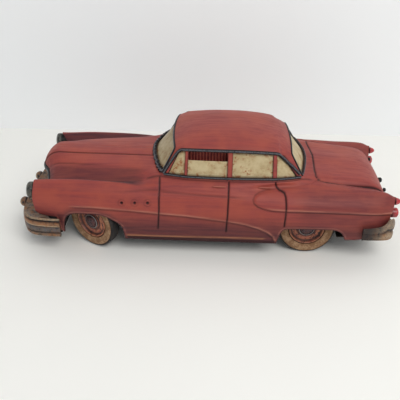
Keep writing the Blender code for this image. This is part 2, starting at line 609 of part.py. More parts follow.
def build_bumpers():
    front = mirrored_path([(-101, -53.4), (-107, -53.4), (-113, -53.1), (-119, -52.2), (-123.5, -50.6), (-127.5, -47.2),
                           (-130.6, -42), (-132, -36), (-132.9, -26), (-133.4, -13), (-133.6, 0)])
    tops = [26.6, 26.7, 26.8, 26.8, 26.8, 26.8, 26.8, 26.8, 26.8, 26.8, 26.8]
    shelf = [2.6, 2.6, 11.0, 12.0, 13.0, 13.0, 13.0, 13.0, 12.5, 12.0, 12.0]
    bumper("front_bumper", front, 11.2, tops + tops[-2::-1], 2.2, 0.9, shelf + shelf[-2::-1], DULL_PLATE)
    rear = mirrored_path([(117.8, -54.3), (125, -54.2), (131, -53.9), (135.2, -53.3), (138.6, -51.8), (141.0, -48.4),
                          (141.8, -38), (142.2, -18), (142.3, 0)])
    tops = [27.2, 28.0, 29.6, 35.0, 35.4, 30.0, 26.6, 26.2, 26.2]
    shelf = [2.0, 2.0, 2.0, 2.0, 2.0, 2.6, 6.0, 6.5, 6.5]
    bumper("rear_bumper", rear, 17.4, tops + tops[-2::-1], 1.5, 0.6, shelf + shelf[-2::-1], DULL_PLATE)
    for name, sign in (("left", -1), ("right", 1)):
        steps = 6
        tip = [(GUARD_RADIUS * math.sin(math.pi * 0.72 * k / steps),
                FRONT_TIP + GUARD_RADIUS * (1 - math.cos(math.pi * 0.72 * k / steps)))
               for k in range(1, steps + 1)]
        ball = [(0.4, FRONT_TIP)] + tip + [(2.2, -133.9)]
        turned("bumper_guard_" + name, ball, DULL_PLATE, axis="X", count=14, origin=(0, sign * 20.8, 21.3))


# ---- chassis and lining --------------------------------------------------------------------
PLATE = 1.0
SIDE_PLATE_Y = 8.4
MOTOR_FROM = 44.0
MOTOR_TO = 92.0
LINING_FROM = -9.0
LINING_TO = 20.0
LINING_Y = -30.0


def build_chassis():
    half = [(-119, 40), (-112, 46.0), (-101.8, 46.0), (-101.8, 22), (-50.0, 22), (-49.0, 48.2), (55.6, 48.4), (56.6, 32), (103, 32),
            (103, 41), (122, 41), (122, 7.0), (62, 7.0)]
    outline = half + [(x, -y) for x, y in reversed(half)]
    plate("chassis_plate", outline, [], FLOOR_Z, FLOOR_Z + PLATE, "Z", CHASSIS_TIN)


def build_lining():
    """Ribbed lining behind the lowered window."""
    ribs = 13
    pitch = (LINING_TO - LINING_FROM) / (2 * ribs)
    near = [(LINING_FROM + i * pitch, LINING_Y + (0.9 if i % 2 else 0.0)) for i in range(2 * ribs + 1)]
    far = [(x, y + 0.7) for x, y in reversed(near)]
    plate("cabin_lining", near + far, [], 50.0, 73.5, "Z", SEAT_RED)


# ---- friction motor -----------------------------------------------------------------------
def beside(origin, angle, distance):
    return (origin[0] + distance * math.cos(angle), origin[1] + distance * math.sin(angle))


AXLE_AT = (REAR_AXLE_X, AXLE_Z)
COUNTER_AT = beside(AXLE_AT, COUNTER_ANGLE, GEAR_CENTRES)
FLYWHEEL_AT = beside(COUNTER_AT, FLYWHEEL_ANGLE, GEAR_CENTRES)
BACKLASH = 0.18


def gear_outline(teeth, tooth_at):
    """Straight-sided teeth close to 20 degree involutes, one tooth centred on angle tooth_at."""
    pitch = MODULE * teeth / 2
    tip = pitch + 0.62 * MODULE
    root = pitch - 0.85 * MODULE
    half_pitch = (math.pi * MODULE / 2 - BACKLASH) / 2
    lean = math.tan(math.radians(21))
    outline = []
    for k in range(teeth):
        middle = tooth_at + 2 * math.pi * k / teeth
        flank = [(root, half_pitch + lean * (pitch - root)), (tip, half_pitch - lean * (tip - pitch))]
        for sign, steps in ((-1, flank), (1, flank[::-1])):
            for radius, half in steps:
                angle = middle + sign * half / radius
                outline.append((radius * math.cos(angle), radius * math.sin(angle)))
    return outline


def shaft(name, at, radius, low, high, mat=MOTOR_STEEL):
    profile = [(radius * 0.8, low), (radius, low + 0.3), (radius, high - 0.3), (radius * 0.8, high)]
    return turned(name, profile, mat, count=16, origin=(at[0], 0, at[1]))


def gear(name, at, teeth, tooth_at, low, high):
    outline = gear_outline(teeth, tooth_at)
    return plate(name, outline, [circle(AXLE_RADIUS + GAP, 12)], low, high, "Y", GEAR_BRASS,
                 origin=(at[0], 0, at[1]))


def build_motor():
    facing = COUNTER_ANGLE + math.pi
    gap_turn = math.pi / PINION_TEETH
    gear("drive_gear", AXLE_AT, GEAR_TEETH, COUNTER_ANGLE, 2.2, 4.6)
    gear("counter_pinion", COUNTER_AT, PINION_TEETH, facing + gap_turn, 1.4, 5.4)
    gear("counter_gear", COUNTER_AT, GEAR_TEETH, FLYWHEEL_ANGLE, -4.2, -1.8)
    gear("flywheel_pinion", FLYWHEEL_AT, PINION_TEETH, FLYWHEEL_ANGLE + math.pi + gap_turn, -5.0, -1.0)
    shaft("rear_axle", AXLE_AT, AXLE_RADIUS, -TRACK_HALF - 2.6, TRACK_HALF + 2.6)
    shaft("counter_shaft", COUNTER_AT, AXLE_RADIUS, -11.0, 11.0)
    shaft("flywheel_shaft", FLYWHEEL_AT, AXLE_RADIUS, -11.0, 11.0)
    rim = [(AXLE_RADIUS + GAP, 0.4), (3.0, 0.4), (3.0, 1.6), (9.2, 1.6), (9.8, 2.2), (9.8, 6.6), (9.2, 7.2),
           (AXLE_RADIUS + GAP, 7.2)]
    turned("flywheel", rim, MOTOR_STEEL, count=24, closed=True, origin=(FLYWHEEL_AT[0], 0, FLYWHEEL_AT[1]))
    foot = FLOOR_Z + PLATE + GAP
    side = [(MOTOR_FROM - 3, foot), (MOTOR_TO, foot), (MOTOR_TO, 24), (COUNTER_AT[0] + 6, 33),
            (FLYWHEEL_AT[0] - 5, 38.5), (MOTOR_FROM - 3, 33)]
    holes = [circle(AXLE_RADIUS + GAP, 16, at) for at in (AXLE_AT, COUNTER_AT, FLYWHEEL_AT)]
    for name, sign in (("left", -1), ("right", 1)):
        low, high = sorted((sign * SIDE_PLATE_Y, sign * (SIDE_PLATE_Y + PLATE)))
        plate("motor_side_" + name, side, holes, low, high, "Y", MOTOR_STEEL)


# ---- wheels and steering ------------------------------------------------------------------
def build_wheel(prefix, at, sign, turn):
    """Tyre, pressed disc and hub cap; profiles run outward from the wheel's mid-plane."""
    half = TYRE_WIDTH / 2
    tyre = [(13.3, -half), (19.6, -half), (TYRE_RADIUS, -half + 1.4), (TYRE_RADIUS, half - 1.8), (19.8, half - 0.4),
            (16.6, half), (13.3, half - 0.6)]
    disc = [(AXLE_RADIUS + GAP, -1.0), (3.0, -1.0), (3.0, 1.0), (12.95, 1.0), (12.95, 3.7), (12.1, 3.9),
            (10.8, 2.2), (6.4, 2.6), (AXLE_RADIUS + GAP, 2.6)]
    cap = [(5.9, 2.95), (5.9, 3.6), (5.0, 4.3), (3.4, 4.8), (1.4, 5.0)]
    for name, profile, mat, count, closed in (("tyre", tyre, RUBBER, 28, True), ("disc", disc, WHEEL_PAINT, 24, True),
                                              ("hubcap", cap, DULL_PLATE, 18, False)):
        placed = [(r, sign * h) for r, h in profile]
        turned(f"{prefix}_{name}", placed, mat, count=count, closed=closed, origin=at, turn=turn)


def turned_point(x, y, turn):
    return (x * math.cos(turn) - y * math.sin(turn), x * math.sin(turn) + y * math.cos(turn))


def arm_outline(boss, eye):
    """Lever outline in its own frame: boss round the kingpin, eye at the end of the arm."""
    back = [(boss * math.cos(t), boss * math.sin(t)) for t in np.linspace(math.radians(50), math.radians(310), 12)]
    tip = [(STEER_ARM + eye * math.cos(t), eye * math.sin(t))
           for t in np.linspace(math.radians(-80), math.radians(80), 7)]
    return back + tip


BEAM_LOW = 26.0
BEAM_HIGH = 27.6
KNUCKLE_LOW = 16.2
KNUCKLE_HIGH = 19.6
TIE_LOW = 13.8
TIE_HIGH = 15.0


def build_steering():
    for name, sign in (("left", -1), ("right", 1)):
        pivot = (KINGPIN_X, sign * KINGPIN_Y, 0)
        knuckle = plate("knuckle_" + name, arm_outline(2.4, 1.6), [], KNUCKLE_LOW, KNUCKLE_HIGH, "Z", MOTOR_STEEL,
                        origin=pivot, turn=STEER_REST)
        pin = turned("pin", [(1.0, KNUCKLE_LOW - 0.8), (1.0, BEAM_HIGH + 1.0)], MOTOR_STEEL, axis="Z", count=12, origin=pivot)
        tie = turned("tie", [(0.7, TIE_LOW - 0.8), (0.7, KNUCKLE_LOW + 1.0)], MOTOR_STEEL, axis="Z", count=10,
                     origin=(pivot[0] + turned_point(STEER_ARM, 0, STEER_REST)[0],
                             pivot[1] + turned_point(STEER_ARM, 0, STEER_REST)[1], 0))
        reach = [(AXLE_RADIUS, sign * 1.0), (AXLE_RADIUS, sign * (STUB_OFFSET + 2.6))]
        stub = turned("stub", reach, MOTOR_STEEL, count=14, turn=STEER_REST,
                      origin=(pivot[0], pivot[1], AXLE_Z))
        join_solids(knuckle, pin, tie, stub)
        hub = turned_point(0, sign * STUB_OFFSET, STEER_REST)
        build_wheel("front_" + name, (pivot[0] + hub[0], pivot[1] + hub[1], AXLE_Z), sign, STEER_REST)
        build_wheel("rear_" + name, (REAR_AXLE_X, sign * TRACK_HALF, AXLE_Z), sign, 0.0)

    dx, dy = turned_point(STEER_ARM, 0, STEER_REST)
    reach = KINGPIN_Y
    ends = [(1.7 * math.cos(t), reach + 1.7 * math.sin(t)) for t in np.linspace(math.radians(-20), math.radians(200), 9)]
    outline = ends + [(-x, -y) for x, y in ends]
    holes = [circle(1.05, 10, (0, s * reach)) for s in (-1, 1)]
    plate("tie_rod", outline, holes, TIE_LOW, TIE_HIGH, "Z", MOTOR_STEEL, origin=(KINGPIN_X + dx, dy, 0))

    ends = [(2.4 * math.cos(t), reach + 2.4 * math.sin(t)) for t in np.linspace(math.radians(-10), math.radians(190), 9)]
    outline = [(x + KINGPIN_X, y) for x, y in ends + [(-x, -y) for x, y in ends]]
    holes = [circle(1.35, 12, (KINGPIN_X, s * reach)) for s in (-1, 1)]
    plate("front_beam", outline, holes, BEAM_LOW, BEAM_HIGH, "Z", CHASSIS_TIN)
    foot = FLOOR_Z + PLATE + GAP
    half = 9.0
    top = BEAM_LOW - GAP
    leg = [(-half - 1.2, foot), (-half, foot), (-half, top - 1.2), (half, top - 1.2), (half, foot), (half + 1.2, foot),
           (half + 1.2, top), (-half - 1.2, top)]
    plate("beam_bracket", leg, [], KINGPIN_X - 2.4, KINGPIN_X + 2.4, "X", CHASSIS_TIN)


build_body_shell()
build_glass()
build_body_trim()
build_nose()
build_tail()
build_bumpers()
build_chassis()
build_lining()
build_motor()
build_steering()
for piece in bpy.data.objects:
    piece.location.x += CENTRE_SHIFT * MM
    piece.location.z -= GROUND_Z * MM
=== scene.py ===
"""Visual model of the friction-drive tin saloon car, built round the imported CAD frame.

Lengths are in millimetres until a mesh is made.  x runs from nose (-) to tail (+) and is measured
from the middle of the wheelbase, y is negative on the car's left side, z is up; SHIFT moves this
drawing into the row frame, whose ground is at z = 0.
"""
import json
import math

import bmesh
import bpy
import numpy as np
from mathutils import Matrix, Vector


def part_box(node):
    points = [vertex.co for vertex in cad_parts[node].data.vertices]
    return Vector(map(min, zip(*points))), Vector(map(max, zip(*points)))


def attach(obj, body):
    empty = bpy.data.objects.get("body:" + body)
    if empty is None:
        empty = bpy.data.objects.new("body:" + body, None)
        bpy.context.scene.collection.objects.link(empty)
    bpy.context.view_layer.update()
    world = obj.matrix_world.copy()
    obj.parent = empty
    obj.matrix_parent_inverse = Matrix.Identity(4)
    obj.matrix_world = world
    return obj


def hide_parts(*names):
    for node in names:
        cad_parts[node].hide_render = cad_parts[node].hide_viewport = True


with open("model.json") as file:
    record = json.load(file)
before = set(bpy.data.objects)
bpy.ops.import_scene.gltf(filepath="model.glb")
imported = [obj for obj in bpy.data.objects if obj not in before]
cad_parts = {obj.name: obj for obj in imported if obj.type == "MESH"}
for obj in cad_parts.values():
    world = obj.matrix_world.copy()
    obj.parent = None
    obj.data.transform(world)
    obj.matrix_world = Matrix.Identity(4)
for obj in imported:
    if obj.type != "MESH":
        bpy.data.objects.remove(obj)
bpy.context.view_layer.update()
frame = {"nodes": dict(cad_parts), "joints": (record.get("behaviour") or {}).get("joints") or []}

MM = 0.001
WHEELBASE = 160.0
AXLE_Z = 17.8             # height of the axles in the drawing
SHELL = 0.9               # sheet thickness of the body
GAP = 0.35                # clearance between neighbouring pieces
SILL = 3                  # body line at the window sill
SIDES = (("left", -1), ("right", 1))


def centre_of(node):
    """Middle of a CAD node's box, in mm in the row frame."""
    low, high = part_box(node)
    return np.array((low + high) / 2) / MM


SHIFT = centre_of("rear_axle") - [WHEELBASE / 2, 0, AXLE_Z]


# ---- material nodes -------------------------------------------------------------------------
def linear(colour):
    """Linear colour for a node from 0-255 screen values."""
    return tuple((c / 255) ** 2.2 for c in colour) + (1.0,)


class Paint:
    """One Principled material with helpers that add and join nodes."""

    def __init__(self, name):
        self.mat = bpy.data.materials.new(name)
        self.mat.use_nodes = True
        self.tree = self.mat.node_tree
        self.shader = self.tree.nodes["Principled BSDF"]
        self.coords = self.node("ShaderNodeTexCoord").outputs["Object"]

    def node(self, kind, **settings):
        made = self.tree.nodes.new(kind)
        for key, value in settings.items():
            setattr(made, key, value)
        return made

    def put(self, socket, value):
        if isinstance(value, bpy.types.NodeSocket):
            self.tree.links.new(value, socket)
        else:
            socket.default_value = value

    def noise(self, size, stretch=(1, 1, 1), detail=4.0, rough=0.6, seed=0.0):
        """Noise of that feature size in mm, drawn out along the axes by stretch."""
        scale = self.node("ShaderNodeMapping")
        self.put(scale.inputs["Vector"], self.coords)
        scale.inputs["Location"].default_value = (seed, seed * 1.7, -seed)
        scale.inputs["Scale"].default_value = [1 / s for s in stretch]
        made = self.node("ShaderNodeTexNoise")
        self.put(made.inputs["Vector"], scale.outputs[0])
        made.inputs["Scale"].default_value = 1 / (size * MM)
        made.inputs["Detail"].default_value = detail
        made.inputs["Roughness"].default_value = rough
        return made.outputs["Fac"]

    def mark(self, name):
        """Values stored on the mesh's points under that name."""
        return self.node("ShaderNodeAttribute", attribute_name=name).outputs["Fac"]

    def span(self, value, low, high, start=0.0, end=1.0):
        """Smoothly maps low..high to start..end."""
        made = self.node("ShaderNodeMapRange", interpolation_type="SMOOTHSTEP")
        for socket, given in zip(made.inputs, (value, low, high, start, end)):
            self.put(socket, given)
        return made.outputs[0]

    def maths(self, kind, a, b=0.0):
        made = self.node("ShaderNodeMath", operation=kind, use_clamp=True)
        self.put(made.inputs[0], a)
        self.put(made.inputs[1], b)
        return made.outputs[0]

    def mix(self, share, a, b):
        """Colour between a and b, each a socket or 0-255 values."""
        made = self.node("ShaderNodeMix", data_type="RGBA")
        self.put(made.inputs[0], share)
        for socket, colour in ((made.inputs[6], a), (made.inputs[7], b)):
            self.put(socket, linear(colour) if isinstance(colour, tuple) else colour)
        return made.outputs[2]

    def over(self, colour, tint, share, limit):
        """Colour with a tint laid over it by share times limit."""
        return self.mix(self.maths("MULTIPLY", share, limit), colour, tint)

    def bump(self, height, depth, strength=1.0):
        made = self.node("ShaderNodeBump")
        made.inputs["Strength"].default_value = strength
        made.inputs["Distance"].default_value = depth * MM
        self.put(made.inputs["Height"], height)
        self.put(self.shader.inputs["Normal"], made.outputs[0])

    def finish(self, colour, rough, metallic=0.0, specular=0.5):
        self.put(self.shader.inputs["Base Color"], colour)
        self.put(self.shader.inputs["Roughness"], rough)
        self.put(self.shader.inputs["Metallic"], metallic)
        self.shader.inputs["Specular IOR Level"].default_value = specular
        return self.mat


def body_paint(name, main, warm, dull, darkening, recess_shade_and_grime):
    """Aged hand-rubbed enamel, streaked along the car. Broad painted shade with some grime darkens the low
    sides, the slopes and the valleys. Painted shade darkens the grooves and recesses. Ridges are lightened
    by wear and a painted highlight.
    """
    p = Paint(name)
    streak = p.noise(2.2, stretch=(14, 1, 1), detail=5, rough=0.65)
    cloud = p.noise(26, detail=3, seed=3.1)
    fleck = p.noise(0.9, detail=2, rough=0.7, seed=5.0)
    colour = p.mix(p.span(streak, 0.30, 0.70), dull, main)
    colour = p.over(colour, warm, p.span(cloud, 0.42, 0.66), 0.7)
    # broad painted shade, with some grime, laid on in the darkening colour
    colour = p.over(colour, darkening, p.mark("broad_shade_and_grime"), p.span(streak, 0.2, 0.75, 1.0, 0.72))
    colour = p.over(colour, recess_shade_and_grime, p.span(fleck, 0.60, 0.78), 0.2)
    # ridges lightened: wear with a painted highlight
    colour = p.over(colour, (172, 108, 92), p.mark("wear_and_highlight"), p.span(streak, 0.2, 0.6))
    colour = p.over(colour, (164, 112, 80), p.mark("metal"), p.span(streak, 0.25, 0.55))
    # grooves and recesses darkened by painted shade, with some grime
    colour = p.mix(p.mark("recess_shade_and_grime"), colour, recess_shade_and_grime)
    p.bump(p.maths("ADD", p.maths("MULTIPLY", streak, 0.7), p.maths("MULTIPLY", fleck, 0.5)), 0.10, 0.5)
    return p.finish(colour, p.span(streak, 0.25, 0.75, 0.62, 0.45), specular=0.3)


def window_cream(name, main, stained):
    p = Paint(name)
    cloud = p.noise(9, detail=5, rough=0.7)
    spot = p.noise(3.2, detail=4, rough=0.75, seed=2.0)
    colour = p.mix(p.span(cloud, 0.35, 0.68), main, stained)
    rusty = p.maths("ADD", p.mark("edge"), p.span(cloud, 0.52, 0.64, 0, 0.7))
    colour = p.over(colour, (150, 88, 44), p.span(spot, 0.47, 0.62), rusty)
    # pane edges darkened by painted shade where the wall's lip overhangs them
    colour = p.over(colour, (70, 44, 34), p.mark("recess_shade_and_grime"), 0.85)
    p.bump(spot, 0.12, 0.5)
    return p.finish(colour, p.span(cloud, 0.3, 0.7, 0.42, 0.6), specular=0.4)


def aged_metal(name, main, tarnish, rubbed_and_highlight, dark, metallic, size=5.0, rough=(0.35, 0.6), tints=(),
               specular=0.5):
    """Plated or painted metal gone dull: tarnish in clouds, painted shade with some dirt in the hollows,
    and high spots lightened by rubbing and by a painted highlight.

    tints are (mark, colour) pairs for bands of another colour."""
    p = Paint(name)
    cloud = p.noise(size, detail=5, rough=0.7)
    grain = p.noise(size * 0.22, detail=3, seed=4.0)
    patch = p.noise(size * 0.6, detail=4, rough=0.7, seed=9.0)
    colour = p.mix(p.span(cloud, 0.36, 0.62), main, tarnish)
    colour = p.mix(p.span(patch, 0.50, 0.62), colour, dark)
    for mark, tint in tints:
        colour = p.over(colour, tint, p.mark(mark), p.span(patch, 0.30, 0.60, 1.0, 0.45))
    # high spots: wear with a painted highlight
    colour = p.over(colour, rubbed_and_highlight, p.mark("wear_and_highlight"), p.span(grain, 0.25, 0.6))
    # hollows darkened by painted shade, with some dirt
    colour = p.mix(p.mark("recess_shade_and_grime"), colour, dark)
    p.bump(p.maths("ADD", p.maths("MULTIPLY", patch, 0.8), p.maths("MULTIPLY", grain, 0.5)), 0.15, 0.6)
    return p.finish(colour, p.span(cloud, 0.3, 0.7, *rough), metallic, specular)


def tyre_rubber(name):
    p = Paint(name)
    cloud = p.noise(4, detail=5, rough=0.7)
    grain = p.noise(0.7, detail=3, seed=1.0)
    black = p.mix(p.span(cloud, 0.35, 0.7), (30, 30, 33), (62, 56, 52))
    tan = p.mix(p.span(cloud, 0.36, 0.60), (172, 138, 106), (132, 98, 72))
    tan = p.mix(p.span(grain, 0.50, 0.72), tan, (106, 74, 52))
    colour = p.mix(p.mark("metal"), black, tan)
    # seams darkened by painted shade
    colour = p.mix(p.mark("recess_shade_and_grime"), colour, (52, 30, 24))
    p.bump(p.maths("ADD", cloud, grain), 0.12, 0.5)
    return p.finish(colour, p.span(cloud, 0.3, 0.7, 0.62, 0.85), specular=0.3)


def lamp(name, deep, bright, rough):
    p = Paint(name)
    cloud = p.noise(2.0, detail=4)
    colour = p.mix(p.span(cloud, 0.3, 0.7), deep, bright)
    # painted shade where the lamp meets the body
    colour = p.mix(p.mark("recess_shade_and_grime"), colour, (60, 20, 20))
    p.bump(cloud, 0.05, 0.4)
    p.shader.inputs["Coat Weight"].default_value = 0.35
    p.shader.inputs["Coat Roughness"].default_value = 0.25
    return p.finish(colour, p.span(cloud, 0.3, 0.7, rough, rough + 0.15))


# main, warm and dull enamel, then the colour of broad painted shade with grime, then the near black of
# painted shade in recesses, also used for flecks
BODY = body_paint("body_enamel", (156, 71, 62), (163, 77, 62), (136, 63, 61), (70, 42, 47), (40, 18, 22))
CREAM = window_cream("window_cream_aged", (198, 180, 140), (176, 154, 114))
# each aged metal: main, tarnish, the colour of rubbed high spots that is partly a painted highlight, then a
# dark colour for random patches and for painted shade in hollows
PLATE = aged_metal("bumper_plate", (116, 96, 80), (138, 94, 62), (190, 168, 138), (42, 38, 40), 0.3,
                   tints=[("metal", (150, 92, 50)), ("edge", (74, 80, 88))])
TRIM = aged_metal("dark_trim_aged", (20, 20, 26), (44, 37, 38), (128, 130, 136), (8, 8, 11), 0.0, 3.0,
                  specular=0.25)
CHROME = aged_metal("lamp_ring_aged", (74, 78, 74), (98, 92, 84), (176, 176, 170), (30, 30, 30), 0.5, 2.0)
RUBBER = tyre_rubber("tyre_painted")
DISC = aged_metal("wheel_paint_rusted", (160, 80, 68), (186, 116, 84), (200, 140, 108),
                  (36, 18, 22), 0.05, 3.5)
CAP = aged_metal("cap_plate", (88, 70, 76), (98, 60, 56), (190, 190, 186), (30, 24, 28), 0.35, 2.4)
LAMP_RED = lamp("tail_lamp_red", (150, 34, 38), (196, 60, 62), 0.32)
LAMP_CLEAR = lamp("headlamp_grey", (112, 112, 102), (160, 158, 144), 0.3)
LINING = aged_metal("lining_red", (196, 88, 74), (168, 66, 58), (208, 124, 106),
                    (96, 28, 30), 0.0, 3.0, (0.5, 0.7))
STEEL = aged_metal("motor_steel_aged", (150, 150, 150), (122, 112, 100), (190, 190, 188),
                   (70, 62, 56), 0.9, 6.0, (0.28, 0.5))
GEAR = aged_metal("gear_brass_aged", (178, 142, 78), (150, 108, 52), (214, 184, 116),
                  (84, 60, 34), 0.95, 3.0, (0.25, 0.42))
TIN = aged_metal("chassis_tin_aged", (34, 30, 30), (52, 38, 32), (84, 74, 66),
                 (18, 16, 17), 0.2, 9.0, (0.5, 0.7))
# inside face of the shell, kept near black as painted shade seen through the arches and openings
INSIDE = aged_metal("shell_inside", (40, 26, 27), (52, 32, 28), (70, 50, 46),
                    (20, 14, 15), 0.0, 6.0, (0.6, 0.8))


# ---- mesh helpers ---------------------------------------------------------------------------
def add_object(name, data):
    """A new object in the scene."""
    obj = bpy.data.objects.new(name, data)
    bpy.context.scene.collection.objects.link(obj)
    return obj


def piece(name, points, faces, mat, slot, body="body", stands_for=(), marks=None, angle=40, outward=False):
    """A mesh piece from points in mm; marks are per-point values that its material reads."""
    co = np.asarray(points, float) + SHIFT
    mesh = bpy.data.meshes.new(name)
    mesh.from_pydata((co * MM).tolist(), [], [list(f) for f in faces])
    for mark, values in (marks or {}).items():
        layer = mesh.attributes.new(mark, "FLOAT", "POINT")
        layer.data.foreach_set("value", np.asarray(values, np.float32))
    if not outward:
        bm = bmesh.new()
        bm.from_mesh(mesh)
        bmesh.ops.recalc_face_normals(bm, faces=bm.faces)
        bm.to_mesh(mesh)
        bm.free()
    mesh.materials.append(mat)
    mesh.shade_smooth()
    mesh.set_sharp_from_angle(angle=math.radians(angle))
    obj = add_object(name, mesh)
    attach(obj, body)
    if stands_for:
        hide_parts(*stands_for)
    return obj


def grid_faces(rows, cols, closed_rows=False, closed_cols=False):
    faces = []
    for i in range(rows if closed_rows else rows - 1):
        for j in range(cols if closed_cols else cols - 1):
            k, m = (i + 1) % rows, (j + 1) % cols
            faces.append((i * cols + j, k * cols + j, k * cols + m, i * cols + m))
    return faces


def curve(knots, x):
    """Smooth curve through (x, value) knots without overshoot, flat beyond both ends."""
    table = np.array(knots, float)
    xs, ys = table[:, 0], table[:, 1]
    x = np.clip(np.asarray(x, float), xs[0], xs[-1])
    steps = np.diff(xs)
    slopes = np.diff(ys) / steps
    tangents = np.concatenate([[slopes[0]], np.zeros(len(xs) - 2), [slopes[-1]]])
    for i in range(1, len(xs) - 1):
        if slopes[i - 1] * slopes[i] > 0:
            w1 = 2 * steps[i] + steps[i - 1]
            w2 = steps[i] + 2 * steps[i - 1]
            tangents[i] = (w1 + w2) / (w1 / slopes[i - 1] + w2 / slopes[i])
    i = np.clip(np.searchsorted(xs, x, side="right") - 1, 0, len(xs) - 2)
    t = (x - xs[i]) / steps[i]
    value = (1 + 2 * t) * (1 - t) ** 2 * ys[i] + t * (1 - t) ** 2 * steps[i] * tangents[i]
    return value + t * t * (3 - 2 * t) * ys[i + 1] + t * t * (t - 1) * steps[i] * tangents[i + 1]


def fade(value, start, end):
    """0 at start, 1 at end, smooth between; works in either direction."""
    t = np.clip((value - start) / (end - start), 0, 1)
    return t * t * (3 - 2 * t)


def unit(v):
    return v / np.maximum(np.linalg.norm(v, axis=-1, keepdims=True), 1e-9)


def catmull_rom(a, b, c, d, t):
    """Point at fraction t from b to c on the smooth curve through a, b, c and d."""
    return 0.5 * (2 * b + (c - a) * t + (2 * a - 5 * b + 4 * c - d) * t**2 + (3 * b - a - 3 * c + d) * t**3)


def resample(path, step, closed=False):
    """Points about step apart on a smooth curve through the given points."""
    path = np.asarray(path, float)
    ends = [path[-1]] if closed else [2 * path[0] - path[1]]
    tail = [path[0], path[1]] if closed else [2 * path[-1] - path[-2]]
    ctrl = np.concatenate([ends, path, tail])
    out = []
    for i in range(len(ctrl) - 3):
        a, b, c, d = ctrl[i:i + 4]
        count = max(1, int(round(np.linalg.norm(c - b) / step)))
        for t in np.arange(count) / count:
            out.append(catmull_rom(a, b, c, d, t))
    if not closed:
        out.append(path[-1])
    return np.array(out)


def rounded(points, radius, steps=4, closed=False):
    """A polyline with its corners rounded off."""
    points = [np.array(p, float) for p in points]
    n = len(points)
    out = [] if closed else [points[0]]
    for i in range(n) if closed else range(1, n - 1):
        a, b, c = points[i - 1], points[i], points[(i + 1) % n]
        cut = min(radius, 0.45 * np.linalg.norm(b - a), 0.45 * np.linalg.norm(c - b))
        start, end = b + unit(a - b) * cut, b + unit(c - b) * cut
        for t in np.linspace(0, 1, steps + 1):
            out.append((1 - t) ** 2 * start + 2 * t * (1 - t) * b + t * t * end)
    if not closed:
        out.append(points[-1])
    return np.array(out)


def turned(name, profile, mat, slot, origin, axis="Y", turn=0.0, count=96, closed=False, marks=None, **kw):
    """A solid of revolution about a line through origin; marks maps a name to per-profile values."""
    profile = np.asarray(profile, float)
    angle = 2 * np.pi * np.arange(count) / count
    a = profile[:, :1] * np.cos(angle)
    b = profile[:, :1] * np.sin(angle)
    h = np.broadcast_to(profile[:, 1:2], a.shape)
    points = np.stack((a, h, b) if axis == "Y" else (h, a, b), -1).reshape(-1, 3)
    spin = np.array(Matrix.Rotation(turn, 3, "Z"))
    points = points @ spin.T + np.asarray(origin, float)
    faces = grid_faces(len(profile), count, closed_rows=closed, closed_cols=True)
    if not closed:
        faces.append(range(count))
        faces.append(range((len(profile) - 1) * count, len(profile) * count))
    spread = {k: np.repeat(np.asarray(v, float), count) for k, v in (marks or {}).items()}
    return piece(name, points, faces, mat, slot, marks=spread, **kw)


def swept(name, loops, mat, slot, closed=False, marks=None, **kw):
    """A bar through equal loops of points, capped at both ends unless it closes on itself."""
    loops = np.asarray(loops, float)
    rows, cols = loops.shape[:2]
    faces = grid_faces(rows, cols, closed_rows=closed, closed_cols=True)
    if not closed:
        faces.append(range(cols))
        faces.append(range((rows - 1) * cols, rows * cols))
    flat = {k: np.asarray(v, float).reshape(-1) for k, v in (marks or {}).items()}
    return piece(name, loops.reshape(-1, 3), faces, mat, slot, marks=flat, **kw)


def bead(name, path, out, width, height, wear_and_highlight, crest=slice(3, 5), sink=0.25, mat=TRIM, slot="dark_trim",
         closed=False, **kw):
    """A half-round strip lying on a surface, whose outward directions are out, lightened along its crest by
    rubbing and a painted highlight.
    """
    along = np.roll(path, -1, 0) - np.roll(path, 1, 0) if closed else np.gradient(path, axis=0)
    side = unit(np.cross(unit(along), out))
    turn = np.linspace(0, np.pi, 8)
    width = np.broadcast_to(np.asarray(width, float), (len(path),))[:, None, None]
    height = np.broadcast_to(np.asarray(height, float), (len(path),))[:, None, None]
    arc = side[:, None] * np.cos(turn)[:, None] * width / 2 + out[:, None] * np.sin(turn)[:, None] * height
    base = path[:, None] - out[:, None] * sink
    half = side[:, None] * width / 2
    loops = np.concatenate([path[:, None] + arc, base - half, base + half], 1)
    # painted highlight, with wear, along the crest
    rubbed_and_highlight = np.zeros(loops.shape[:2])
    rubbed_and_highlight[:, crest] = wear_and_highlight
    return swept(name, loops, mat, slot, closed=closed, marks={"wear_and_highlight": rubbed_and_highlight}, **kw)


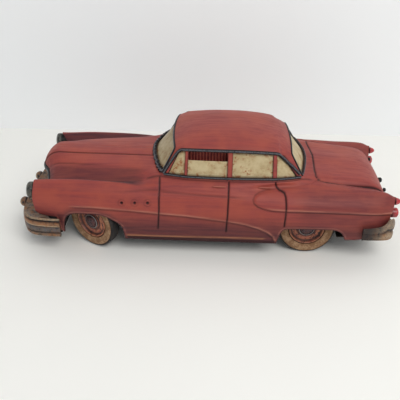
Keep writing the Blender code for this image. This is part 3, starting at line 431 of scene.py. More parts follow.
# ---- body surface ---------------------------------------------------------------------------
# Nine lines run nose to tail on one half of the body, counted outward from the centre plane:
# 0 centre, 1 raised panel, 2 bonnet edge, 3 valley and window sill, 4 wing and fin crown,
# 5 shoulder, 6 widest side, 7 lower side, 8 bottom.  Each is (x, y, z) stations plus where
# its front and rear ends curl down: (end x, curl length, height reached).
NOSE_X = -123.0
TAIL_X = 139.5
LINES = [
    ([(-123, 0, 60.0), (-100, 0, 60.3), (-40, 0, 60.5), (30, 0, 60.0), (75, 0, 58.8), (95, 0, 57.4),
      (140, 0, 54.0)], (-121.2, 13, 45.5), (139.5, 36, 27)),
    ([(-123, 9, 59.2), (-40, 11, 59.6), (30, 11, 59.2), (75, 12, 58.2), (95, 12, 56.6),
      (140, 12, 53.5)], (-120.2, 13, 45.5), (139.5, 36, 27)),
    ([(-123, 18, 54.0), (-108, 19, 54.4), (-94, 21.5, 55.8), (-73, 24, 56.6), (-52, 25.5, 57.3),
      (-36, 27, 57.9), (30, 28, 58.0), (75, 27, 57.2), (105, 28, 54.3), (140, 28, 51.0)], (-115.0, 10, 45),
      (139.3, 32, 27)),
    ([(-121, 33, 47.5), (-95, 34, 48.6), (-66, 36, 50.0), (-42, 36.6, 52.6), (-28, 37.4, 56.4),
      (-8, 40.1, 55.8), (20, 40.8, 55.6), (52, 40.0, 55.8), (66, 37.6, 56.0), (73, 35.2, 56.0),
      (86, 33.5, 53.8), (105, 33, 50.8), (140, 34, 46.0)], (-112.0, 5, 43), (139.0, 22, 29)),
    ([(-119, 40, 52.0), (-90, 41, 53.5), (-65, 42, 53.0), (-50, 43, 51.9), (-35, 45.0, 50.0),
      (-20, 47, 49.6), (20, 47.5, 49.4), (45, 43.0, 51.6), (62, 40.2, 52.4), (90, 39.8, 52.0),
      (112, 40.6, 50.6), (124, 41.0, 50.3), (132, 41.2, 49.8), (139.4, 41.2, 46.9)], (-118.2, 0, 0),
      (139.4, 0, 0)),
    ([(-119, 46.5, 49.0), (-90, 48, 48.4), (-50, 49.5, 46.4), (0, 50.3, 44.0), (35, 50.5, 45.0),
      (60, 48.6, 46.8), (112, 48.4, 46.2), (124, 47.9, 45.6), (132, 46.8, 44.8), (139.2, 44.3, 43.6)],
     (-118.7, 0, 0), (139.0, 0, 0)),
    ([(-119, 48.6, 41.0), (-90, 50.4, 40.0), (-50, 51.4, 39.0), (0, 51.8, 37.0), (35, 52, 38.0),
      (60, 52.6, 40.0), (112, 52, 40.0), (126, 50.9, 39.4), (137.0, 48.6, 38.0)], (-119.6, 0, 0),
      (137.0, 0, 0)),
    ([(-119, 47.6, 33.0), (-90, 50, 27.0), (-50, 51.4, 25.5), (0, 51.6, 24.0), (60, 52, 26.0),
      (112, 51, 27.0), (135.6, 48.6, 28.0)], (-119.4, 0, 0), (135.6, 0, 0)),
    ([(-119, 45.5, 24.0), (-90, 48.4, 10.0), (-50, 49.8, 9.0), (0, 50.0, 9.0), (60, 50.0, 9.0),
      (112, 49.2, 10.0), (134, 46.6, 14.0)], (-119.0, 0, 0), (134.0, 0, 0)),
]
END_BLEND = 26.0
BOW = [(-80, 0), (-37, 9.5), (-30, 7), (-20, 3), (-8, 0), (50, 0), (62, -2.2), (72, -5), (79.8, -6.8),
       (92, -3), (110, 0)]
BOW_SHARE = [1, 1, 1, 1, 0.6, 0.3, 0.1, 0, 0]
# height of the body's lower edge: nose, front wheel arch, rocker, rear wheel arch, tail
LOWER_EDGE = [(-121.6, 35.0), (-120.2, 31.5), (-118.8, 29.0), (-116.2, 26.9), (-109, 26.0), (-103.8, 25.8),
              (-102.9, 19.0), (-102.0, 12.6), (-100.6, 11.4), (-99.2, 11.4), (-98.6, 18.4), (-97.9, 22.8),
              (-95.8, 27.4), (-91.8, 30.0), (-88, 30.7), (-76, 30.7), (-68.1, 29.3), (-63.1, 26.8),
              (-57.9, 23.2), (-55.6, 19.6), (-54.6, 15.0), (-54.0, 9.8), (57.0, 9.8), (57.8, 13.2),
              (58.6, 15.8), (59.8, 20.3), (61.8, 22.9), (65, 23.8), (80, 24.0), (95, 23.9), (99.4, 23.2),
              (102.9, 21.2), (105.6, 17.4), (106.8, 14.6), (113, 14.6), (121, 15.4), (134, 21.0)]


def curl(z, reach, span, low, power):
    q = np.clip(reach / span, 0, 1)
    return low + (z - low) * np.sqrt(1 - q**power)


def body_line(k, station):
    """Points of line k at the stations, which are x values before the ends and glass bow them."""
    knots, front, rear = LINES[k]
    knots = np.array(knots, float)
    near_front = np.clip(1 - (station - NOSE_X) / END_BLEND, 0, 1) ** 2
    near_rear = np.clip(1 - (TAIL_X - station) / END_BLEND, 0, 1) ** 2
    x = station + (front[0] - NOSE_X) * near_front + (rear[0] - TAIL_X) * near_rear
    y = curve(knots[:, [0, 1]], x)
    bow = curve(BOW, station) * BOW_SHARE[k] * (np.minimum(y, 38) / 37) ** 2
    x = x + bow
    y = curve(knots[:, [0, 1]], x)
    z = curve(knots[:, [0, 2]], x)
    if front[1]:
        z = curl(z, front[0] + front[1] - x, front[1], front[2], 2.0)
    if rear[1]:
        z = curl(z, x - rear[0] + rear[1], rear[1], rear[2], 4.4)
    return np.stack([x, y, z], -1)


def body_rows(station, across):
    """Points at the stations and the (fractional) line numbers across: shape (n, m, 3)."""
    lines = np.stack([body_line(k, station) for k in range(len(LINES))], 1)
    inner = lines[:, 1:2] * [1, -1, 1]
    outer = 2 * lines[:, -1:] - lines[:, -2:-1]
    lines = np.concatenate([inner, lines, outer], 1)
    i = np.clip(across.astype(int), 0, len(LINES) - 2)
    t = (across - i)[..., None]
    row = np.arange(len(station))[:, None]
    a, b, c, d = (lines[row, i + j] for j in range(4))
    return catmull_rom(a, b, c, d, t)


def bottom_edge(x):
    return curve(LOWER_EDGE, x)


def lower_end(station, start):
    """Fractional line number where each row meets the bottom edge."""
    low = np.full(len(station), float(start))
    high = np.full(len(station), len(LINES) - 1.0)
    for _ in range(30):
        mid = (low + high) / 2
        p = body_rows(station, mid[:, None])[:, 0]
        above = p[:, 2] > bottom_edge(p[:, 0])
        low = np.where(above, mid, low)
        high = np.where(above, high, mid)
    return (low + high) / 2


# ---- cabin ----------------------------------------------------------------------------------
# Stations of the cabin's two ends, and the roof rail over each station.
GLASS_FRONT = -37.0
GLASS_REAR = 79.8
RAIL_X = [(-37, -17.2), (-31.5, -14.2), (-11.5, -10.4), (-9, -8.2), (19.5, 19.5), (23.1, 23.1),
          (51.8, 51.4), (55.8, 54.0), (76.3, 58.4), (79.8, 64.2)]
RAIL_Y = [(-37, 31.8), (-31.5, 33), (-11.5, 34.2), (20, 34.9), (51.8, 34), (55.8, 33.6), (76.3, 31),
          (79.8, 28.6)]
RAIL_Z = [(-37, 75.4), (-31.5, 76), (-11.5, 76.7), (20, 76.8), (51.8, 75.6), (76.3, 72.8), (79.8, 72)]
ROOF_BOW = [(-37, -2.6), (-24, 0), (66, 0), (79.8, 1.0)]
ROOF_TOP = [(-20, 78.6), (-14, 81.3), (-4, 84.0), (12, 85.7), (28, 85.8), (44, 84.3), (52, 82.6),
            (58, 80.5), (62, 78.3), (65.4, 75.2)]
OPENINGS = [(-31.5, -11.5), (-9.0, 19.5), (23.1, 51.8), (55.8, 76.3)]
OPENING_ENDS = [x for pair in OPENINGS for x in pair]
PILLAR_EDGE = 2.8                        # line number where the corner pillars begin
OPEN_LOW, OPEN_HIGH = 0.12, 0.93         # height fractions of the window openings


def roof_point(station, across):
    """Roof surface over the sill rectangle; across runs 0 at the centre to SILL at the rail."""
    t = np.clip(across / SILL, 0, 1)
    x = curve(RAIL_X, station) + curve(ROOF_BOW, station) * (1 - t * t)
    y = curve(RAIL_Y, station) * t
    rail = curve(RAIL_Z, station)
    z = rail + (curve(ROOF_TOP, x) - rail) * (1 - t**2.3) ** 0.62
    return np.stack([x, y, z], -1)


def wall_point(station, across, v):
    """Cabin wall at height fraction v between sill (0) and rail (1); negative across is the left."""
    given = np.broadcast_arrays(station, across, v)
    station, across, v = (np.atleast_1d(np.asarray(a, float)) for a in given)
    shape = station.shape
    station, across, v = station.ravel(), across.ravel(), v.ravel()[:, None]
    low = body_rows(station, np.abs(across)[:, None])[:, 0]
    p = low * (1 - v) + roof_point(station, np.abs(across)) * v
    p[:, 1] *= np.where(across < 0, -1, 1)
    return p.reshape(*shape, 3)


CABIN_MIDDLE = [20.0, 0.0, 66.0]


def wall_frame(station, across, v):
    """Wall points with their outward and upward directions."""
    here = wall_point(station, across, v)
    up = unit(wall_point(station, across, np.asarray(v) + 0.02) - here)
    side = np.abs(np.asarray(across, float)) >= SILL
    next_station = np.asarray(station) + np.where(side, 0.1, 0)
    next_across = np.asarray(across) + np.where(side, 0, 0.01)
    beside = wall_point(next_station, next_across, v)
    out = unit(np.cross(unit(beside - here), up))
    out = out * np.sign(np.sum(out * (here - CABIN_MIDDLE), -1, keepdims=True))
    return here, out, up


# ---- engraved and raised detail on the body --------------------------------------------------
DOOR_LINES = [
    [(-28.8, 60), (-28.3, 49.8), (-28.3, 36.5), (-29.4, 20.5)],
    [(20.9, 60), (20.8, 47.5), (20.6, 34.3), (20.1, 19.7)],
    [(53.6, 60), (54.1, 54.0), (54.9, 52.2), (56.6, 50.9), (58.6, 50.2), (60.2, 49.4), (61.1, 47.6),
     (61.5, 43.6), (61.8, 35.5), (61.7, 26.0)],
]
BOOT_LINE = [(85.0, 0), (84.4, 12), (83.6, 22.5), (83.9, 30.2), (86.0, 33.2), (91.5, 34.3), (98.2, 33.8),
             (108.6, 32.7), (116.7, 32.4), (128.2, 31.6), (141, 30.4)]
SPEAR = [(-93.3, 36.7), (-77.8, 36.8), (-63.4, 36.3), (-49.0, 35.7), (-28.3, 34.0), (-9.7, 32.7),
         (8.2, 30.8), (21.9, 29.1), (33.5, 27.0), (43.0, 24.0), (50.0, 20.6), (54.6, 16.4), (56.2, 12.5)]
PONTOON = [(140, 37.0), (134.8, 37.3), (106.7, 38.6), (91.1, 39.0), (62.3, 39.1), (51.1, 39.5),
           (46.1, 40.5), (41.8, 42.1), (39.3, 44.2), (38.6, 46.3), (39.8, 48.1), (42.3, 49.4), (45.9, 50.3),
           (53.0, 50.9), (64.4, 51.6), (75.0, 53.0)]
WING_CREASE = [(-70.3, 49.1), (-56.0, 48.4), (-41.8, 49.2), (-28.5, 49.6), (-13.5, 48.6), (0.7, 48.0),
               (20.5, 47.4), (36.7, 46.5)]
BONNET_PANEL = [(-124, 8.6), (-108.2, 9.0), (-91.9, 9.8), (-69.0, 10.3), (-36.0, 10.9)]
BONNET_CREASE = [(-118, 17.0), (-108.8, 18.4), (-93.6, 21.4), (-77.4, 23.6), (-64.6, 25.2)]
PORTHOLES = [(-54.9, 41.2), (-45.6, 41.5), (-36.4, 41.7)]
ROCKER_LINE = [(-52, 13.2), (-28, 13.3), (0, 13.6), (30, 13.9), (48, 14.0)]


def line_distance(a, b, line):
    """Distance from points (a, b) to a polyline, its sign telling the left side (+) from the right."""
    line = np.asarray(line, float)
    best = np.full(a.shape, 1e9)
    side = np.ones(a.shape)
    for (x0, y0), (x1, y1) in zip(line[:-1], line[1:]):
        dx, dy = x1 - x0, y1 - y0
        t = np.clip(((a - x0) * dx + (b - y0) * dy) / (dx * dx + dy * dy), 0, 1)
        d = np.hypot(a - x0 - t * dx, b - y0 - t * dy)
        cross = dx * (b - y0) - dy * (a - x0)
        closer = d < best
        side = np.where(closer, np.sign(cross), side)
        best = np.where(closer, d, best)
    return best, side


def bell(d, width):
    return np.exp(-(d / width) ** 2)


EDGE_X = np.arange(-121.5, 134.0, 0.7)
EDGE_LINE = np.stack([EDGE_X, bottom_edge(EDGE_X)], -1)


def relief(p, across):
    """Height over the plain surface, and the paint marks, for body points at those lines across. The marks
    lay painted shade in grooves, under mouldings and on slopes and valleys, and painted highlights on
    ridges.
    """
    x, y, z = p[..., 0], p[..., 1], p[..., 2]
    lift = np.zeros(x.shape)
    marks = {name: np.zeros(x.shape) for name in ("recess_shade_and_grime", "wear_and_highlight", "metal", "broad_shade_and_grime")}
    side = fade(across, 2.95, 3.05)
    top = 1 - fade(across, 3.2, 3.5)

    def add(name, value):
        marks[name] = np.maximum(marks[name], value)

    for line in DOOR_LINES:
        d, _ = line_distance(x, z, line)
        lift -= 0.6 * bell(d, 0.5) * side
        # painted shade in the door gaps
        add("recess_shade_and_grime", bell(d, 0.72) * side)
    d, _ = line_distance(x, y, BOOT_LINE)
    lift -= 0.6 * bell(d, 0.5) * top
    # painted shade in the boot lid's gap
    add("recess_shade_and_grime", bell(d, 0.72) * top)

    d, above = line_distance(x, z, SPEAR)
    d = d * above
    begin = fade(x, -96, -88)
    lift += (0.5 * bell(d, 0.75) + 0.28 * fade(d, -0.2, 0.4) * fade(d, 9, 2)) * begin * side
    # painted highlight along the moulding's crest, with wear
    add("wear_and_highlight", bell(d - 0.1, 0.7) * begin * side)
    # painted shade under the moulding
    add("recess_shade_and_grime", 0.6 * bell(d + 1.5, 0.7) * begin * side)

    d, inner = line_distance(x, z, PONTOON)
    d = -d * inner
    raised = fade(d, -0.6, 1.6) * fade(x, 142, 126)
    lift += 0.75 * raised * side
    lower = fade(z, 47, 42)
    # painted highlight along the pontoon's lower edge, with wear
    add("wear_and_highlight", 0.9 * bell(d - 1.1, 0.6) * side * lower * fade(x, 44, 56))
    # painted shade along the pontoon's edge
    add("recess_shade_and_grime", 0.8 * bell(d + 0.5, 0.55) * side * (0.45 + 0.55 * lower) * fade(z, 53.5, 51))
    lift += 0.18 * bell(d - 1.1, 0.6) * side * lower

    d, _ = line_distance(x, z, WING_CREASE)
    soft = side * fade(x, -72, -30) * fade(x, 40, 20)
    lift -= 0.22 * bell(d, 0.9) * soft
    lift -= 0.14 * bell(d - 2.0, 0.5) * soft
    # painted shade in the crease
    add("recess_shade_and_grime", 0.35 * bell(d, 0.7) * soft)

    d, outer = line_distance(x, y, BONNET_PANEL)
    d = d * outer
    front = fade(x, -34, -38) * top
    lift += 0.35 * fade(d, 0.5, -0.5) * front
    lift -= 0.25 * bell(d - 0.3, 0.5) * front
    # painted shade along the edge of the raised bonnet panel
    add("recess_shade_and_grime", 0.75 * bell(d - 0.2, 0.55) * front)
    d, outer = line_distance(x, y, BONNET_CREASE)
    d = d * outer
    front = fade(x, -62, -84) * top
    lift -= 0.3 * bell(d, 0.8) * front
    # painted shade in the bonnet crease
    add("recess_shade_and_grime", 0.5 * bell(d, 0.6) * front)

    d, _ = line_distance(x, z, EDGE_LINE)
    arches = np.maximum(fade(x, -106, -102) * fade(x, -50, -54), fade(x, 54, 58) * fade(x, 112, 106)) * side
    lift += 0.22 * fade(d, 2.0, 1.0) * arches
    # painted highlight on the arch lips, painted shade at the lower edge, and broad painted shade with
    # grime round the arches
    add("wear_and_highlight", 0.4 * bell(d - 1.2, 0.5) * arches)
    add("recess_shade_and_grime", 0.5 * bell(d, 0.5) * side)
    add("broad_shade_and_grime", 0.95 * bell(d, 4.2) * arches)

    between = fade(x, -54.0, -51.5) * fade(x, 57, 55.5) * side
    d, _ = line_distance(x, z, ROCKER_LINE)
    lift += 0.45 * bell(d, 0.55) * between
    add("metal", bell(d, 0.65) * between)
    # painted shade under the sill
    add("recess_shade_and_grime", 0.8 * fade(z, 12.8, 12.2) * between)
    lift += 0.3 * fade(z, 11.0, 10.6) * between
    rear = fade(x, 100, 112)
    # sides drawn darker towards the bottom
    add("broad_shade_and_grime", (0.92 - 0.12 * rear) * fade(z, 38, 18) * side)
    # broad painted shade on the top of the rear quarter, low on the front wing, on the bonnet's side slopes
    # and valleys, and on the inner sides of the front wings
    add("broad_shade_and_grime", 0.42 * fade(x, 60, 80) * fade(z, 56, 46) * side)
    add("broad_shade_and_grime", 0.6 * fade(across, 1.95, 2.3) * fade(across, 3.2, 3.0) * fade(x, -36, -50))
    add("broad_shade_and_grime", 0.9 * fade(x, -106, -102) * fade(x, -92, -98) * fade(z, 34, 26) * side)
    add("broad_shade_and_grime", 0.66 * bell(across - 2.8, 0.42) * fade(x, -36, -50) * top)
    add("broad_shade_and_grime", 0.8 * bell(across - 3.3, 0.25) * fade(x, -36, -50))
    add("broad_shade_and_grime", 0.62 * fade(across, 1.9, 2.5) * top * fade(x, -36, -60))
    add("broad_shade_and_grime", 0.95 * fade(across, 3.0, 3.1) * fade(across, 4.1, 3.8) * fade(x, -36, -50))

    for px, pz in PORTHOLES:
        d = np.hypot(x - px, z - pz)
        lift += (0.35 * bell(d - 1.7, 0.45) - 0.7 * fade(d, 1.3, 0.7)) * side
        # painted shade in the portholes and round them
        add("recess_shade_and_grime", (0.95 * fade(d, 1.3, 0.8) + 0.25 * bell(d - 2.5, 0.5)) * side)

    sill = bell((across - SILL) * 4, 0.5) * fade(x, -40, -36) * fade(x, 82, 78)
    # painted shade along the window sill
    add("recess_shade_and_grime", 0.6 * sill)
    valley = bell(across - 3.05, 0.22)
    # painted shade in the valleys beside the bonnet and the boot
    add("recess_shade_and_grime", 0.35 * valley * fade(x, -38, -44))
    add("recess_shade_and_grime", 0.30 * valley * fade(x, 80, 86))
    return lift, marks


def spaced(fixed, base, fine):
    """Stations through the fixed ones, base apart, closer inside the (from, to, step) spans."""
    out = []
    for a, b in zip(fixed[:-1], fixed[1:]):
        probe = np.linspace(a, b, 400)
        step = np.full(probe.shape, base)
        for low, high, close in fine:
            gap = np.maximum(np.maximum(low - probe, probe - high), 0)
            step = np.minimum(step, close + 0.35 * gap)
        count = np.concatenate([[0], np.cumsum(np.diff(probe) / step[1:])])
        total = max(1, int(round(count[-1])))
        out += list(np.interp(np.arange(total) / total, count / count[-1], probe))
    return np.array(out + [fixed[-1]])


FINE_STATIONS = [(-124, -122.3, 0.15), (-104.4, -97.4, 0.25), (-57.5, -34, 0.55), (-56.5, -53.6, 0.25),
                 (-29.8, -27.6, 0.3), (19.6, 21.4, 0.3), (38, 43, 0.6), (53.2, 62.3, 0.35), (83, 86.2, 0.4),
                 (101.5, 107.5, 0.3), (138.2, 140, 0.2)]
ACROSS_FIXED = [0.0, PILLAR_EDGE, 3.0, 5.7]
ACROSS_FINE = [(0.75, 1.05, 0.035), (2.7, 3.4, 0.035), (3.4, 5.7, 0.045)]
LOWER_STEPS = 52


def with_mirror_image(points, faces, values):
    """Adds the other half of the body, which shares the points on the centre plane."""
    n = len(points)
    moved = np.abs(points[:, 1]) > 1e-6
    twin = np.where(moved, n + np.cumsum(moved) - 1, np.arange(n))
    faces = faces + [tuple(int(twin[k]) for k in reversed(f)) for f in faces]
    points = np.concatenate([points, points[moved] * [1, -1, 1]])
    values = {name: np.concatenate([v, np.array(v)[moved]]) for name, v in values.items()}
    return points, faces, values


def is_glass(station, across):
    """Whether a stretch of cabin wall, given by its two ends, has a window in it."""
    if min(across) >= SILL:
        return any(low < sum(station) / 2 < high for low, high in OPENINGS)
    return max(across) <= PILLAR_EDGE + 1e-6


def build_body():
    """The whole pressed shell: lower body, cabin walls with their openings, and roof."""
    corners = sorted(OPENING_ENDS + [GLASS_FRONT, GLASS_REAR])
    pillars = [(a[1], b[0], 0.6) for a, b in zip(OPENINGS[:-1], OPENINGS[1:])]
    stations = spaced([NOSE_X] + corners + [TAIL_X], 1.7, FINE_STATIONS + pillars)
    upper = spaced(ACROSS_FIXED, 0.09, ACROSS_FINE)
    ends = lower_end(stations, upper[-1])
    lower = upper[-1] + (ends - upper[-1])[:, None] * np.arange(1, LOWER_STEPS + 1) / LOWER_STEPS
    across = np.concatenate([np.broadcast_to(upper, (len(stations), len(upper))), lower], 1)
    grid = body_rows(stations, across)
    lift, marks = relief(grid, across)
    normal = unit(np.cross(np.gradient(grid, axis=0), np.gradient(grid, axis=1)))
    grid = grid + normal * lift[..., None]
    first = int(np.argmin(np.abs(stations - GLASS_FRONT)))
    last = int(np.argmin(np.abs(stations - GLASS_REAR)))
    sill = int(np.argmin(np.abs(upper - SILL)))
    cols = grid.shape[1]
    points = list(grid.reshape(-1, 3))
    values = {name: list(v.reshape(-1)) for name, v in marks.items()}
    faces = []
    for i in range(grid.shape[0] - 1):
        for j in range(cols - 1):
            if not (first <= i < last and j < sill):
                a = i * cols + j
                faces.append((a, a + cols, a + cols + 1, a + 1))

    # cabin wall: levels of vertices above the sill ring, the last one being the roof's edge
    ring_ij = [(first, j) for j in range(sill)] + [(i, sill) for i in range(first, last + 1)]
    ring_ij += [(last, j) for j in range(sill - 1, -1, -1)]
    ring_s = np.array([stations[i] for i, _ in ring_ij])
    ring_a = np.array([upper[j] for _, j in ring_ij])
    heights = np.unique(np.concatenate([np.linspace(0, OPEN_LOW, 4), np.linspace(OPEN_LOW, OPEN_HIGH, 15),
                                        np.linspace(OPEN_HIGH, 1, 5)]))[1:-1]
    levels = [[i * cols + j for i, j in ring_ij]]
    for v in heights:
        levels.append(list(range(len(points), len(points) + len(ring_ij))))
        points += list(wall_point(ring_s, ring_a, v))
        edge = np.minimum.reduce([np.abs(ring_s - x) for x in OPENING_ENDS])
        # painted shade round the window openings and along their lower edge
        dark = 0.7 * bell(edge, 0.5) * (ring_a >= SILL) + 0.5 * bell(v - OPEN_LOW, 0.02)
        values["recess_shade_and_grime"] += list(np.minimum(dark, 0.8))
        for name in ("wear_and_highlight", "metal", "broad_shade_and_grime"):
            values[name] += [0.0] * len(ring_ij)
    roof = {}
    for i in range(first, last + 1):
        for j in range(sill + 1):
            roof[i, j] = len(points)
            points.append(roof_point(stations[i:i + 1], upper[j:j + 1])[0])
            for name in values:
                values[name].append(0.0)
    levels.append([roof[ij] for ij in ring_ij])
    bounds = np.concatenate([[0], heights, [1]])
    for n in range(len(levels) - 1):
        middle = (bounds[n] + bounds[n + 1]) / 2
        for r in range(len(ring_ij) - 1):
            if OPEN_LOW < middle < OPEN_HIGH and is_glass(ring_s[r:r + 2], ring_a[r:r + 2]):
                continue
            low, high = levels[n], levels[n + 1]
            faces.append((low[r], high[r], high[r + 1], low[r + 1]))
    for i in range(first, last):
        for j in range(sill):
            faces.append((roof[i, j], roof[i + 1, j], roof[i + 1, j + 1], roof[i, j + 1]))

    points, faces, values = with_mirror_image(np.array(points), faces, values)
    shell = piece("body", points, faces, BODY, "body_paint", stands_for=["body_shell"], marks=values,
                  outward=True, angle=50)
    # the inner face of the sheet takes the near-black inside material, which is painted shade
    shell.data.materials.append(INSIDE)
    sheet = shell.modifiers.new("sheet", "SOLIDIFY")
    sheet.material_offset = 1
    sheet.material_offset_rim = 1
    sheet.thickness = SHELL * MM
    sheet.offset = -1.0
    return shell


# ---- windows ---------------------------------------------------------------------------------
PANE = 0.5                               # thickness
PANE_LOW, PANE_HIGH, PANE_DOWN = 0.07, 0.96, 0.63
GLASS_REACH = 2.86                       # how far the front and rear glass go across
GLASS_COLUMNS = 45
# rust on the left side's panes: station, height fraction, size
RUST_SPOTS = [(-24, 0.3, 4.5), (-19, 0.55, 3.5), (-15, 0.85, 3.5), (33.5, 0.27, 3.5), (30, 0.5, 1.5),
              (7, 0.5, 1.5)]


def build_pane(name, station, across, top, stands_for, darkening=0.0):
    """A window insert behind the cabin wall; station and across run along it, top per column."""
    rows = 16
    v = PANE_LOW + (np.asarray(top) - PANE_LOW) * np.linspace(0, 1, rows)[:, None]
    s = np.broadcast_to(station, v.shape)
    a = np.broadcast_to(across, v.shape)
    wall, out, _ = wall_frame(s, a, v)
    near = SHELL + GAP
    outer = (wall - out * near).reshape(-1, 3)
    inner = (wall - out * (near + PANE)).reshape(-1, 3)
    cols = v.shape[1]
    n = rows * cols
    faces = grid_faces(rows, cols)
    faces += [tuple(k + n for k in reversed(f)) for f in faces]
    rim = [(0, j) for j in range(cols)] + [(i, cols - 1) for i in range(1, rows)]
    rim += [(rows - 1, j) for j in range(cols - 2, -1, -1)] + [(i, 0) for i in range(rows - 2, 0, -1)]
    rim = [i * cols + j for i, j in rim]
    for p, q in zip(rim, rim[1:] + rim[:1]):
        faces.append((p, q, q + n, p + n))
    near_edge = np.maximum(bell(v - OPEN_LOW, 0.10), bell(v - OPEN_HIGH, 0.10))
    corner = np.zeros(v.shape)
    for x in OPENING_ENDS:
        corner = np.maximum(corner, bell(s - x, 2.2) * (np.abs(a) >= SILL))
    for at_s, at_v, size in RUST_SPOTS:
        if np.all(a < 0):
            corner = np.maximum(corner, 1.4 * bell(np.hypot(s - at_s, (v - at_v) * 24), size))
    edge = np.maximum(near_edge, corner).reshape(-1)
    # painted shade at the pane's top and bottom edges, under the wall's lip; the darkening amount raises it
    # all over
    recess_shade_and_grime = np.maximum(0.8 * bell(v - OPEN_LOW, 0.03), 0.7 * bell(v - OPEN_HIGH, 0.04)).reshape(-1)
    marks = {"edge": np.tile(edge, 2), "recess_shade_and_grime": np.tile(np.maximum(recess_shade_and_grime, darkening), 2)}
    return piece(name, np.concatenate([outer, inner]), faces, CREAM, "window_cream", stands_for=stands_for,
                 marks=marks)


def build_windows():
    across = np.linspace(-GLASS_REACH, GLASS_REACH, GLASS_COLUMNS)
    tops = np.full(GLASS_COLUMNS, PANE_HIGH)
    # the windscreen is drawn darker all over than the rear window
    for name, station, darkening in (("windscreen", GLASS_FRONT, 0.2), ("rear_window", GLASS_REAR, 0.0)):
        build_pane(name + "_pane", np.full(GLASS_COLUMNS, station), across, tops, [name], darkening)
    spans = ((-31.0, -9.4, 20), (-9.0, 19.5, 24), (19.9, 76, 42))
    along = np.concatenate([np.linspace(*span) for span in spans])
    for name, sign in SIDES:
        top = np.full(len(along), PANE_HIGH)
        if sign < 0:
            top = np.where((along > -9.2) & (along < 19.7), PANE_DOWN, PANE_HIGH)
        edge = np.full(len(along), sign * float(SILL))
        build_pane("side_panes_" + name, along, edge, top, ["side_glazing_" + name])


# ---- trim round the windows -------------------------------------------------------------------
WALL_HEIGHT = 25.0                       # cabin wall, roughly, for spacing points along it
LINE_SPACING = 10.0                      # between neighbouring body lines, roughly
BEAD_LOW = 0.085                         # height fraction of the trim under the glass


def build_window_frame(name, station):
    """Frame bead all round the windscreen or the rear window."""
    low, high, reach = BEAD_LOW, 0.955, GLASS_REACH
    corners = [(-reach, low), (reach, low), (reach, high), (-reach, high)]
    track = rounded([(a * LINE_SPACING, v * WALL_HEIGHT) for a, v in corners], 2.0, closed=True)
    track = resample(track, 0.9, closed=True)
    a, v = track[:, 0] / LINE_SPACING, track[:, 1] / WALL_HEIGHT
    path, out, _ = wall_frame(np.full(len(a), station), a, v)
    scallop = np.zeros(len(a))
    width = 1.3
    if station == GLASS_FRONT:
        base = bell(v - low, 0.06)
        scallop = base * np.maximum(np.sin(np.arange(len(a)) * 1.6), 0)
        width = 1.8 + 0.8 * base
    # painted highlight, with wear, along the bead's crest
    bead(name, path + out * 0.1, out, width + 2.0 * scallop, 0.8 + 0.7 * scallop, 0.55, closed=True)


def build_side_strips():
    rail_s = [-36.6, -35.5, -33, -29, -21, -11.5, 5, 19.5, 37, 51.8, 60, 67, 73, 76.6, 78.2, 79.2]
    rail_v = [0.12, 0.5, 0.87, 0.965] + [0.98] * 6 + [0.965, 0.93, 0.85, 0.67, 0.42, 0.2]
    sill_s = [-36.0, -31.5, -21, -11.5, 5, 19.5, 37, 51.8, 60, 68, 76.3, 79.0]
    for name, sign in SIDES:
        for kind, s, v, width, height in (("drip_rail_", rail_s, rail_v, 2.3, 1.0),
                                          ("sill_trim_", sill_s, [BEAD_LOW] * len(sill_s), 1.9, 0.8)):
            track = resample(np.stack([s, np.array(v) * WALL_HEIGHT], -1), 0.8)
            across = np.full(len(track), sign * float(SILL))
            path, out, _ = wall_frame(track[:, 0], across, track[:, 1] / WALL_HEIGHT)
            # painted highlight, with wear, along the strip's crest
            bead(kind + "bead_" + name, path + out * 0.15, out, width, height, 0.45,
                 stands_for=[kind + name])


